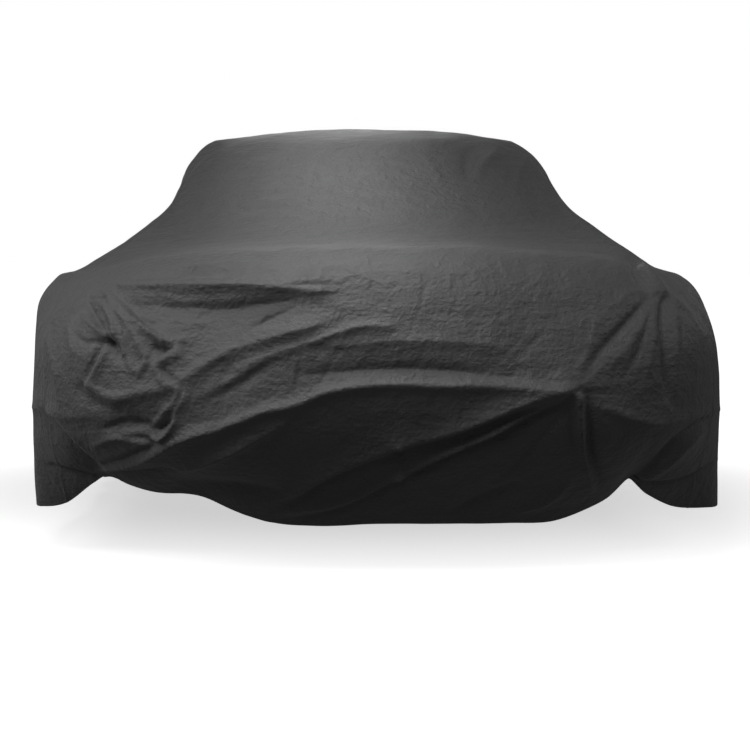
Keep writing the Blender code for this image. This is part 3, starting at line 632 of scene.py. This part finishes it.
# %% Where the eye sees each point
def front_drawing(points):
    """Where each point is seen on the upright plane at the nose, as (across, up) in metres."""
    ahead = np.array((EYE_TURN, 1, 0)) / np.hypot(1, EYE_TURN)
    aside = np.array((1, -EYE_TURN, 0)) / np.hypot(1, EYE_TURN)
    offset = points - EYE
    scale = -EYE[1] / (offset @ ahead)
    return np.stack([offset @ aside * scale, EYE[2] + offset[..., 2] * scale], axis=-1)


print("the eye sees the top's middle at", front_drawing(TOP_PLACE * MM).round(2), "m (across, up)")

# %% [markdown]
# ## Outward directions
#
# A fold moves each point along the outward direction of the smooth form. It comes from the two directions
# of the grid, round and up, whose cross product stands square on the cloth.

# %% Outward directions of the smooth form
NO_LENGTH = 1e-12


def unit(vectors):
    """The vectors with a length of 1."""
    return vectors / np.maximum(np.linalg.norm(vectors, axis=-1, keepdims=True), NO_LENGTH)


round_way = np.roll(skirt, -1, axis=1) - np.roll(skirt, 1, axis=1)
up_way = np.gradient(skirt, axis=0)
up_way[-1] = rail_slopes
skirt_out = unit(np.cross(unit(round_way), unit(up_way)))
top_out = unit(np.cross(np.gradient(top, axis=1), np.gradient(top, axis=0)))

inner_top = top[1:-1, 1:-1]
skirt_count = skirt.shape[0] * skirt.shape[1]
points = np.concatenate([skirt.reshape(-1, 3), inner_top.reshape(-1, 3)])
outward = np.concatenate([skirt_out.reshape(-1, 3), top_out[1:-1, 1:-1].reshape(-1, 3)])
print(len(points), "points; mean outward direction of the top:", top_out.mean(axis=(0, 1)).round(2))

# %% [markdown]
# ## Slack that nobody draws
#
# Between the creases cloth is never quite even. A sum of a few long sine waves with turned directions gives
# a soft unevenness. It is seeded, so each run gives the same cover.

# %% Soft unevenness and the swing of the hem
SLACK_WAVES = (
    # wave length, height, in mm
    (420, 1.6),
    (240, 1.0),
    (130, 0.5),
    (70, 0.22),
)
WAVES_EACH = 7  # waves of each length, each turned its own way
SLACK_SEED = 4
HEM_WAVES = (
    # length, reach, start, in mm
    (870, 9, 120),
    (610, 6, 400),
)
WAVE_RISE = 420  # the hem's waves die out over this height
WAVES_WHOLE = 0.1  # metres up to which they are whole


def slack(places):
    """How far the cloth is from even at each point, in metres."""
    draw = np.random.default_rng(SLACK_SEED)
    height = np.zeros(len(places))
    for length, reach in SLACK_WAVES:
        for _ in range(WAVES_EACH):
            way = unit(draw.normal(size=3)) * 2 * math.pi / (length * MM)
            wave = np.sin(places @ way + draw.uniform(0, 2 * math.pi))
            height += reach * MM * wave / math.sqrt(WAVES_EACH)
    return height


def hem_waves(places):
    """How far the loose edge swings out at each point: most at the hem, nothing higher up."""
    around = np.arctan2(places[:, 0], TOP_PLACE[1] * MM - places[:, 1]) * HALF_RING / np.pi
    swing = 0
    for length, reach, start in HEM_WAVES:
        swing = swing + reach * np.sin(2 * np.pi * (around - start) / length)
    return swing * MM * (1 - soft_step(places[:, 2], WAVES_WHOLE, WAVE_RISE * MM))


print("the cloth is uneven by up to", (np.abs(slack(points)).max() / MM).round(1), "mm")

# %% [markdown]
# ## Each fold on its own face
#
# A drawing made from in front says nothing about the sides. So each table works only where the cloth faces
# its drawing, and fades out where the cloth turns away. It would be simpler to lay every fold everywhere,
# but then the folds of one face would smear over the next. The sewn seams stand up as narrow ridges.

# %% Where each table works, as (nothing yet, all of it)
SEEN, HIDDEN = (-0.05, 0.05), (-0.05, 0.15)  # cosine between the outward direction and the way to the eye
SIDEWAYS, UPWARDS, REARWARDS = (0.3, 0.7), (0.5, 0.8), (0.4, 0.8)  # share of the outward direction
FRONT_FADES, TOP_GROWS, TAIL_GROWS, WAVES_GROW = (2.3, 2.6), (2.2, 2.6), (3.6, 3.9), (0.6, 1.2)  # metres back
SEAM_HEIGHT = 1.4 * MM
SEAM_HALF = 7 * MM
print("the front's folds fade out from", FRONT_FADES[0], "to", FRONT_FADES[1], "m back")

# %% Lay the folds on the form
out, back, up = points.T
to_eye = EYE - points
facing = np.sum(outward * to_eye, axis=1) / np.linalg.norm(to_eye, axis=1)
front = soft_step(facing, *SEEN) * (1 - soft_step(back, *FRONT_FADES))
behind = 1 - soft_step(facing, *HIDDEN)
sideways = soft_step(np.abs(outward[:, 0]), *SIDEWAYS) * behind
flat = soft_step(outward[:, 2], *UPWARDS) * soft_step(back, *TOP_GROWS)
rear = soft_step(outward[:, 1], *REARWARDS) * soft_step(back, *TAIL_GROWS)
side_spots = np.stack([back, up], axis=1)
lift = front * lifted_by(FRONT_FOLDS, front_drawing(points), front > 0)
lift += sideways * lifted_by(RIGHT_FOLDS, side_spots, (sideways > 0) & (out > 0))
lift += sideways * lifted_by(LEFT_FOLDS, side_spots, (sideways > 0) & (out < 0))
lift += rear * lifted_by(TAIL_FOLDS, np.stack([out, up], axis=1), rear > 0)
lift += flat * lifted_by(TOP_FOLDS, np.stack([out, back], axis=1), flat > 0)
lift += soft_step(back, *WAVES_GROW) * hem_waves(points)
lift += slack(points)
from_seam = np.abs(np.abs(stops)[:, None] - np.array((NOSE_SEAM, TAIL_SEAM))).min(axis=1) * MM
seam_lift = np.tile(SEAM_HEIGHT * np.exp(-((from_seam / SEAM_HALF) ** 2)), skirt.shape[0])
lift[:skirt_count] += seam_lift
draped = points + lift[:, None] * outward
print("folds lift the cloth by", (lift.min() / MM).round(1), "to", (lift.max() / MM).round(1), "mm")

# %% [markdown]
# ## Three sheets
#
# The front needs close columns for its creases, and the top and the tail do not. So the centre panel's mesh
# has every column up to the shoulder, every second one up to the rail and every fourth one over the top.
# Where two densities meet, each wide cell takes a fan of triangles, so there is no gap.

# %% Mesh helpers
skirt_ids = np.arange(skirt_count).reshape(skirt.shape[:2])
inner_count = inner_top.shape[0] * inner_top.shape[1]
inner_ids = skirt_count + np.arange(inner_count).reshape(inner_top.shape[:2])


def cells(ids):
    """The quads of a grid of point numbers, whose rows run up and columns to the right, seen from outside."""
    quads = np.stack([ids[:-1, :-1], ids[:-1, 1:], ids[1:, 1:], ids[1:, :-1]], axis=-1)
    return quads.reshape(-1, 4).tolist()


def stitch(fine, coarse):
    """Triangles between a row with many points and the row above it with few, seen from outside."""
    share = (len(fine) - 1) // (len(coarse) - 1)
    faces = []
    for cell in range(len(coarse) - 1):
        lower = fine[cell * share : (cell + 1) * share + 1]
        middle = share // 2
        for step in range(share):
            apex = coarse[cell] if step < middle else coarse[cell + 1]
            faces.append([int(lower[step]), int(lower[step + 1]), int(apex)])
        faces.append([int(lower[middle]), int(coarse[cell + 1]), int(coarse[cell])])
    return faces


def fan(apex, rim):
    """Triangles from one point to a line of points that runs against the clock round it."""
    return [[int(apex), int(first), int(second)] for first, second in zip(rim[:-1], rim[1:])]


print("a wide cell beside", COARSE, "fine ones takes", len(stitch(range(COARSE + 1), range(2))), "triangles")

# %% Faces of the three panels
full_rows = sum(ROW_SPANS[:3])  # up to the shoulder
rail_row = skirt.shape[0] - 1
rail_ids = skirt_ids[rail_row]
nose_half = nose[::2]
centre_faces = cells(skirt_ids[: full_rows + 1, nose])
centre_faces += stitch(skirt_ids[full_rows, nose], skirt_ids[full_rows + 1, nose_half])
centre_faces += cells(skirt_ids[full_rows + 1 :, nose_half])
centre_faces += cells(skirt_ids[:, tail])
centre_faces += cells(inner_ids)
beside = COARSE // 2  # of the nose's halved columns, those at either end belong to the corner fans
centre_faces += stitch(rail_ids[nose_half[beside:-beside]], inner_ids[0])
centre_faces += stitch(rail_ids[tail[1:-1]], inner_ids[-1][::-1])
centre_faces += stitch(rail_ids[right[COARSE:-COARSE]], inner_ids[:, -1])
centre_faces += stitch(rail_ids[left[COARSE:-COARSE]], inner_ids[::-1, 0])
centre_faces += fan(inner_ids[0, 0], np.append(rail_ids[left[-COARSE - 1 : -1]], rail_ids[nose_half[:3]]))
centre_faces += fan(inner_ids[0, -1], np.append(rail_ids[nose_half[-3:-1]], rail_ids[right[: COARSE + 1]]))
centre_faces += fan(inner_ids[-1, -1], np.append(rail_ids[right[-COARSE - 1 : -1]], rail_ids[tail[:2]]))
centre_faces += fan(inner_ids[-1, 0], np.append(rail_ids[tail[-2:-1]], rail_ids[left[: COARSE + 1]]))
right_faces = cells(skirt_ids[:, right])
left_faces = cells(skirt_ids[:, left])
print("faces:", len(centre_faces), len(right_faces), len(left_faces))

# %% [markdown]
# ## The hem
#
# The hem is a folded edge with one row of stitches. Here the sheet turns round its edge and runs a little
# way back up inside, which gives the edge the thickness that the eye expects. The stitches are in the
# finish.

# %% Turn the hem in
HEM_TURN = ((2.2, -1.2), (3.4, 3.0), (3.2, 22.0))  # (inwards, up) of each row of the turned edge, in mm


def turned_hem(count_before):
    """Points of the rows inside the hem, and their numbers as a grid that starts with the hem itself."""
    inwards, rising = -outward[skirt_ids[0]], unit(up_way[0])
    edge = draped[skirt_ids[0]]
    made = [edge + inwards * aside * MM + rising * raised * MM for aside, raised in HEM_TURN]
    numbers = count_before + np.arange(len(made) * skirt.shape[1]).reshape(len(made), -1)
    return np.concatenate(made), np.concatenate([skirt_ids[:1], numbers])


hem_points, hem_ids = turned_hem(len(draped))
draped = np.concatenate([draped, hem_points])
for faces, column in ((centre_faces, nose), (centre_faces, tail), (right_faces, right), (left_faces, left)):
    faces += [quad[::-1] for quad in cells(hem_ids[:, column])]
print("hem rows:", len(HEM_TURN))

# %% [markdown]
# ## Maps for the finish
#
# The stitches follow the cloth, so each sheet carries a map in metres: how far round it a point lies and
# how far up from the hem. A second map gives the distance to the nearest sewn seam.

# %% Lengths along the cloth
TOP_SHIFT = 1.0  # metres by which the top's map lies further up than its own places
INSIDE_HEM = -0.05  # how far up the turned edge lies on the map, away from the stitches
NO_SEAM = 1.0  # metres: far from any seam
walked_up = np.concatenate(
    [np.zeros((1, skirt.shape[1])), np.cumsum(np.linalg.norm(np.diff(skirt, axis=0), axis=2), axis=0)]
)
skirt_map = np.stack([np.broadcast_to(stops * MM, walked_up.shape), walked_up], axis=-1)
top_map = np.stack([inner_top[..., 0], inner_top[..., 1] + TOP_SHIFT], axis=-1)
hem_row_map = np.stack([skirt_map[0, :, 0], np.full(skirt.shape[1], INSIDE_HEM)], axis=-1)
hem_map = np.tile(hem_row_map, (len(HEM_TURN), 1))
cloth_map = np.concatenate([skirt_map.reshape(-1, 2), top_map.reshape(-1, 2), hem_map])
skirt_seams, hem_seams = (np.tile(from_seam, rows) for rows in (skirt.shape[0], len(HEM_TURN)))
seam_map = np.concatenate([skirt_seams, np.full(inner_ids.size, NO_SEAM), hem_seams])
print("cloth from hem to rail at the nose:", walked_up[-1, NOSE_COLUMNS // 2].round(2), "m")

# %% [markdown]
# ## From numbers to sheets
#
# Each panel becomes a mesh of its own, with smooth shading and its map. One mesh for the whole cover would
# be quicker to make, but a sewer cuts three panels, and three sheets can each be taken off, measured and
# finished.

# %% How a sheet is made
def metres_on_map(mesh, places):
    """The map of each face corner, with all corners of a face on one side of the jump in the ring's count."""
    first = np.zeros(len(mesh.polygons), np.int32)
    mesh.polygons.foreach_get("loop_start", first)
    face_start = np.repeat(places[first, 0], np.diff(np.append(first, len(places))))
    places[:, 0] -= RING * np.round((places[:, 0] - face_start) / RING)
    return places


def make_sheet(name, faces):
    """One panel as an open, smoothly shaded mesh with a map in metres and the distance to its seams."""
    numbers = sorted({corner for face in faces for corner in face})
    place = {number: at for at, number in enumerate(numbers)}
    mesh = bpy.data.meshes.new(name)
    corners = (draped[numbers] - TOP_PLACE * MM).tolist()
    mesh.from_pydata(corners, [], [[place[corner] for corner in face] for face in faces])
    mesh.shade_smooth()
    layer = mesh.uv_layers.new(name="cloth_map")
    corner_points = np.zeros(len(mesh.loops), np.int32)
    mesh.loops.foreach_get("vertex_index", corner_points)
    places = metres_on_map(mesh, cloth_map[numbers][corner_points])
    layer.data.foreach_set("uv", places.astype(np.float32).ravel())
    seam = mesh.attributes.new("from_seam", "FLOAT", "POINT")
    seam.data.foreach_set("value", seam_map[numbers].astype(np.float32))
    sheet = bpy.data.objects.new(name, mesh)
    bpy.context.scene.collection.objects.link(sheet)
    return sheet


def cloth_area(sheet):
    """The area of one side of a sheet, in square metres."""
    return sum(face.area for face in sheet.data.polygons)


print(len(draped), "points are shared out among the sheets")

# %% Make the sheets
centre_cloth = make_sheet("centre_cloth", centre_faces)
right_cloth = make_sheet("right_cloth", right_faces)
left_cloth = make_sheet("left_cloth", left_faces)
for sheet in (centre_cloth, right_cloth, left_cloth):
    sheet.data.calc_loop_triangles()
    triangles = len(sheet.data.loop_triangles)
    print(sheet.name, triangles, "triangles,", round(cloth_area(sheet), 2), "square metres")

# %% [markdown]
# ## The finish
#
# The cloth is woven polyester with a charcoal coat. It is matt, a little lighter where one looks along it,
# and its weave shows only as a fine grain. Crumples too small for the mesh are bump: small facets with
# sharp edges, and long low wrinkles that run round the cover. They could be painted as a picture, but these
# patterns have no joins and no end. A row of stitches runs along the hem and on both sides of each upright
# seam, sunk a little in the cloth.

# %% Colour and gloss of the coat
COAT_COLOUR = (0.115, 0.115, 0.117, 1)
COAT_DARK = (0.098, 0.098, 0.1, 1)
COAT_ROUGHNESS = 0.56
COAT_GLOSS = 0.35
COAT_SHEEN, SHEEN_ROUGHNESS = 0.12, 0.4
FLECKS = 240  # in a metre
FLECK_EDGES = (0.3, 0.7)  # of the noise, between which the dark coat turns into the pale one
print("the dark flecks have", round(COAT_DARK[0] / COAT_COLOUR[0], 2), "of the coat's colour")

# %% Relief of the coat
FACETS = (
    # (facets in a metre, how strong, height of one) of the crumples, which have sharp edges
    (13, 0.6, 9 * MM),
    (34, 0.75, 3.2 * MM),
    (82, 0.7, 1.5 * MM),
)
DRAGS = (13, 0.65, 5 * MM)  # the same for long low wrinkles that run round the cover
GRAIN = (105, 1.0, 2.8 * MM)
DRAG_STRETCH, GRAIN_STRETCH = (0.6, 0.6, 4), (0.8, 0.8, 1)
DRAG_DETAIL, FINE_DETAIL = 4, 3
WARP_SCALE, WARP_SHARE = 9, 0.09  # waves in a metre that bend the crumples, and by how much
STITCH_PITCH, STITCH_SHARE = 6.5 * MM, 0.62  # from one stitch to the next, and how much of that is thread
STITCH_AWAY, STITCH_HALF = 12 * MM, 1.1 * MM  # from the hem or the seam, and half a stitch's width
STITCH_DEPTH, STITCH_STRENGTH = 1 * MM, 1.0
print(round(1 / STITCH_PITCH), "stitches in a metre of seam")


# %% Building blocks of a finish
def noise(tree, scale, detail, stretch, source):
    """A soft noise with so many waves in a metre, pressed together along each axis by the stretch."""
    mapping = tree.nodes.new("ShaderNodeMapping")
    mapping.inputs["Scale"].default_value = stretch
    texture = tree.nodes.new("ShaderNodeTexNoise")
    texture.inputs["Scale"].default_value = scale
    texture.inputs["Detail"].default_value = detail
    tree.links.new(source, mapping.inputs["Vector"])
    tree.links.new(mapping.outputs["Vector"], texture.inputs["Vector"])
    return texture.outputs["Fac"]


def maths(tree, operation, first, *others):
    """One step of arithmetic, from sockets and plain numbers."""
    node = tree.nodes.new("ShaderNodeMath")
    node.operation = operation
    for number, value in enumerate((first, *others)):
        if isinstance(value, (int, float)):
            node.inputs[number].default_value = value
        else:
            tree.links.new(value, node.inputs[number])
    return node.outputs["Value"]


def bump(tree, height, strength, distance, under=None, sunk=False):
    """A relief of the given height in metres, laid over the one under it."""
    node = tree.nodes.new("ShaderNodeBump")
    node.invert = sunk
    node.inputs["Strength"].default_value = strength
    node.inputs["Distance"].default_value = distance
    tree.links.new(height, node.inputs["Height"])
    if under is not None:
        tree.links.new(under, node.inputs["Normal"])
    return node.outputs["Normal"]


# %% Crumples and flecks
def bent(tree, place):
    """Object coordinates that a slow noise bends, so that no crumple has straight edges."""
    bend = tree.nodes.new("ShaderNodeTexNoise")
    bend.inputs["Scale"].default_value = WARP_SCALE
    bend.inputs["Detail"].default_value = FINE_DETAIL
    tree.links.new(place, bend.inputs["Vector"])
    warped = tree.nodes.new("ShaderNodeMixRGB")
    warped.blend_type = "ADD"
    warped.inputs["Fac"].default_value = WARP_SHARE
    tree.links.new(place, warped.inputs["Color1"])
    tree.links.new(bend.outputs["Color"], warped.inputs["Color2"])
    return warped.outputs["Color"]


def facets(tree, scale, source):
    """Small facets with sharp edges, as in crumpled cloth."""
    crumple = tree.nodes.new("ShaderNodeTexVoronoi")
    crumple.feature = "F1"
    crumple.inputs["Scale"].default_value = scale
    tree.links.new(source, crumple.inputs["Vector"])
    return crumple.outputs["Distance"]


def flecks(tree, place):
    """The coat's colour, with fine darker flecks."""
    ramp = tree.nodes.new("ShaderNodeValToRGB")
    for element, position, colour in zip(ramp.color_ramp.elements, FLECK_EDGES, (COAT_DARK, COAT_COLOUR)):
        element.position, element.color = position, colour
    tree.links.new(noise(tree, FLECKS, FINE_DETAIL, (1, 1, 1), place), ramp.inputs["Fac"])
    return ramp.outputs["Color"]


print("crumples in a metre:", *(scale for scale, _, _ in FACETS))


# %% Rows of stitches
def stitches(tree, along, away):
    """1 on each stitch of a row that runs beside an edge, else 0."""
    row = maths(tree, "COMPARE", away, STITCH_AWAY, STITCH_HALF)
    part = maths(tree, "FRACT", maths(tree, "DIVIDE", along, STITCH_PITCH))
    return maths(tree, "MULTIPLY", row, maths(tree, "LESS_THAN", part, STITCH_SHARE))


def stitch_rows(tree):
    """The row along the hem and the rows beside the upright seams, read from the sheet's own maps."""
    on_cloth = tree.nodes.new("ShaderNodeSeparateXYZ")
    tree.links.new(tree.nodes.new("ShaderNodeUVMap").outputs["UV"], on_cloth.inputs["Vector"])
    seam = tree.nodes.new("ShaderNodeAttribute")
    seam.attribute_name = "from_seam"
    hem_row = stitches(tree, on_cloth.outputs["X"], on_cloth.outputs["Y"])
    seam_row = stitches(tree, on_cloth.outputs["Y"], seam.outputs["Fac"])
    return maths(tree, "MAXIMUM", hem_row, seam_row)


print("stitches:", round(STITCH_PITCH * STITCH_SHARE / MM, 1), "mm long")


# %% The whole finish
def cloth_finish(name):
    """The coated cloth as a material: crumples, wrinkles, grain, stitches and flecks."""
    finish = bpy.data.materials.new(name)
    finish.use_nodes = True
    tree = finish.node_tree
    shader = tree.nodes["Principled BSDF"]
    place = tree.nodes.new("ShaderNodeTexCoord").outputs["Object"]
    bent_place = bent(tree, place)
    normal = None
    for scale, strength, height in FACETS:
        normal = bump(tree, facets(tree, scale, bent_place), strength, height, normal)
    normal = bump(tree, noise(tree, DRAGS[0], DRAG_DETAIL, DRAG_STRETCH, place), *DRAGS[1:], normal)
    normal = bump(tree, noise(tree, GRAIN[0], FINE_DETAIL, GRAIN_STRETCH, place), *GRAIN[1:], normal)
    normal = bump(tree, stitch_rows(tree), STITCH_STRENGTH, STITCH_DEPTH, normal, sunk=True)
    tree.links.new(normal, shader.inputs["Normal"])
    tree.links.new(flecks(tree, place), shader.inputs["Base Color"])
    shader.inputs["Roughness"].default_value = COAT_ROUGHNESS
    shader.inputs["Specular IOR Level"].default_value = COAT_GLOSS
    shader.inputs["Sheen Weight"].default_value = COAT_SHEEN
    shader.inputs["Sheen Roughness"].default_value = SHEEN_ROUGHNESS
    return finish


centre_cloth.data.materials.append(cloth_finish("charcoal_coated_cloth"))
side_finish = cloth_finish("charcoal_side_cloth")
for sheet in (right_cloth, left_cloth):
    sheet.data.materials.append(side_finish)
print("finishes:", centre_cloth.data.materials[0].name, side_finish.name)

# %% [markdown]
# ## Tied to the frame
#
# Each sheet stands for the solid of the same panel and rides on the cover's one body.

# %% Tie the sheets to the frame
CENTRE_CUT, CENTRE_CUT_AREA = (2.3, 5.9), 8.9  # the flat cut's width and length in metres, and its area
SIDE_CUT, SIDE_CUT_AREA = (3.9, 1.25), 3.9
for sheet, node, cut, cut_area, slot in (
    (centre_cloth, "centre_panel", CENTRE_CUT, CENTRE_CUT_AREA, "cover_cloth"),
    (right_cloth, "right_panel", SIDE_CUT, SIDE_CUT_AREA, "side_cloth"),
    (left_cloth, "left_panel", SIDE_CUT, SIDE_CUT_AREA, "side_cloth"),
):
    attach(sheet, "root")
    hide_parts(node)
    print(sheet.name, "stands for", node)

# %% [markdown]
# ## Studio
#
# A pale floor and a pale backdrop without an edge. The floor glows weakly near its middle and fully further
# out: painted shade that keeps the shadow under the cover dark, and painted light that keeps the far floor
# white. The main light hangs high in front and to the left, so every ledge is pale and all that turns under
# falls dark. A narrow strip over the long front slope makes the pale patch in its middle, and a narrow beam
# from each side fills the front corners. One soft box behind the cover rims the top, and a beam from behind
# each shoulder shows the sides. Little light comes from around.

# %% Floor
FLOOR_SIZE = 60
FLOOR_COLOUR, FLOOR_ROUGHNESS = (0.8, 0.8, 0.8, 1), 0.9
WHITE = (1, 1, 1, 1)
# The floor glows, though it is no lamp: weakly near its middle and fully further out. This is painted shade
# under the cover and painted light on the far floor.
PAINTED_GLOW_GROWS = (0.8, 2.8)  # metres from the floor's middle
PAINTED_GLOW_STRENGTH = (0.6, 1.0)
floor_height = -TOP_PLACE[2] * MM
bpy.ops.object.select_all(action="DESELECT")
bpy.ops.mesh.primitive_plane_add(size=FLOOR_SIZE, location=(0, 0, floor_height))
floor = bpy.context.object
floor.name = "studio_floor"
floor_finish = bpy.data.materials.new("pale_floor")
floor_finish.use_nodes = True
nodes, links = floor_finish.node_tree.nodes, floor_finish.node_tree.links
pale = nodes["Principled BSDF"]
pale.inputs["Base Color"].default_value = FLOOR_COLOUR
pale.inputs["Roughness"].default_value = FLOOR_ROUGHNESS
pale.inputs["Emission Color"].default_value = WHITE
from_middle = nodes.new("ShaderNodeVectorMath")
from_middle.operation = "LENGTH"
links.new(nodes.new("ShaderNodeTexCoord").outputs["Object"], from_middle.inputs[0])
painted_glow = nodes.new("ShaderNodeMapRange")
painted_glow.interpolation_type = "SMOOTHSTEP"
for socket, value in zip(("From Min", "From Max", "To Min", "To Max"), (*PAINTED_GLOW_GROWS, *PAINTED_GLOW_STRENGTH)):
    painted_glow.inputs[socket].default_value = value
links.new(from_middle.outputs["Value"], painted_glow.inputs["Value"])
links.new(painted_glow.outputs["Result"], pale.inputs["Emission Strength"])
floor.data.materials.append(floor_finish)
floor.visible_diffuse = False
floor.visible_glossy = False
print("floor:", round(floor_height, 3), "m below the underside of the top")


# %% Lights
def soft_light(name, place, aim, energy, size, spread=180):
    """A soft box of one size, turned to a point of the cover. Spread is how wide it shines, in degrees."""
    lamp = bpy.data.lights.new(name, "AREA")
    lamp.energy = energy
    lamp.shape = "RECTANGLE"
    lamp.size, lamp.size_y = size
    lamp.spread = math.radians(spread)
    light = bpy.data.objects.new(name, lamp)
    bpy.context.scene.collection.objects.link(light)
    light.location = place
    light.rotation_euler = (Vector(aim) - light.location).to_track_quat("-Z", "Y").to_euler()
    light.visible_camera = False
    return light


NOSE_AIM = (0, -1.2, -0.5)
lights = (
    # name, place, aim, watts, size, spread
    soft_light("strip_light", (-0.12, -1.05, 0.9), (-0.12, -1.05, 0), 4.2, (0.5, 3.0), 40),
    soft_light("high_light", (-2, -4, 7.5), NOSE_AIM, 120, (4, 4)),
    soft_light("front_light", (-0.6, -4.5, 2.2), NOSE_AIM, 36, (1.8, 1.8)),
    soft_light("side_light", (-3, -3, 0.9), (-0.9, -2.3, -0.5), 6.2, (1.8, 1.8), 70),
    soft_light("wing_light", (3.2, -2.6, 1.2), (0.9, -2.3, -0.5), 1.2, (1.5, 1.5), 60),
    soft_light("back_light", (0, 3.6, 0.7), (0, 0.3, 0), 22, (1.2, 1.2)),
    soft_light("left_rear_light", (-4.5, 3.5, 1.5), (-0.9, 1.3, -0.7), 3, (1.5, 1.5), 50),
    soft_light("right_rear_light", (4.5, 3.5, 1.5), (0.9, 1.3, -0.7), 2.4, (1.5, 1.5), 50),
)
print("lights:", *(light.name for light in lights))

# %% Backdrop
AROUND_STRENGTH, BACKDROP_STRENGTH = 0.08, 1.0
world = bpy.data.worlds.new("studio")
bpy.context.scene.world = world
world.use_nodes = True
nodes, links = world.node_tree.nodes, world.node_tree.links
around = nodes["Background"]
around.inputs["Color"].default_value = WHITE
around.inputs["Strength"].default_value = AROUND_STRENGTH
backdrop = nodes.new("ShaderNodeBackground")
backdrop.inputs["Color"].default_value = WHITE
backdrop.inputs["Strength"].default_value = BACKDROP_STRENGTH
ray = nodes.new("ShaderNodeLightPath")
either = nodes.new("ShaderNodeMixShader")
links.new(ray.outputs["Is Camera Ray"], either.inputs[0])
links.new(around.outputs[0], either.inputs[1])
links.new(backdrop.outputs[0], either.inputs[2])
links.new(either.outputs[0], nodes["World Output"].inputs["Surface"])
bpy.context.scene.view_settings.view_transform = "Standard"
print("light from around:", AROUND_STRENGTH)

# %% [markdown]
# ## Camera
#
# The camera stands at the eye from which the front folds were read, 1 m up and a little left of the middle,
# and has the photograph's focal length. So each fold lands where it lies in the photograph. The camera is
# turned and dipped, and its lens isn't shifted, so other views can turn it as they like.

# %% Camera
SENSOR = 36  # mm
camera_data = bpy.data.cameras.new("photo_camera")
camera_data.sensor_width = SENSOR
camera_data.lens = FOCAL_PIXELS / PHOTO_WIDTH * SENSOR
camera = bpy.data.objects.new("photo_camera", camera_data)
bpy.context.scene.collection.objects.link(camera)
camera.location = EYE - TOP_PLACE * MM
turned = math.atan(EYE_TURN) - math.atan(ASIDE_PIXELS / FOCAL_PIXELS)
dipped = math.atan(BELOW_PIXELS / FOCAL_PIXELS)
look = (math.sin(turned) * math.cos(dipped), math.cos(turned) * math.cos(dipped), -math.sin(dipped))
camera.rotation_euler = Vector(look).to_track_quat("-Z", "Y").to_euler()
bpy.context.scene.camera = camera
print("lens", round(camera_data.lens, 1), "mm")
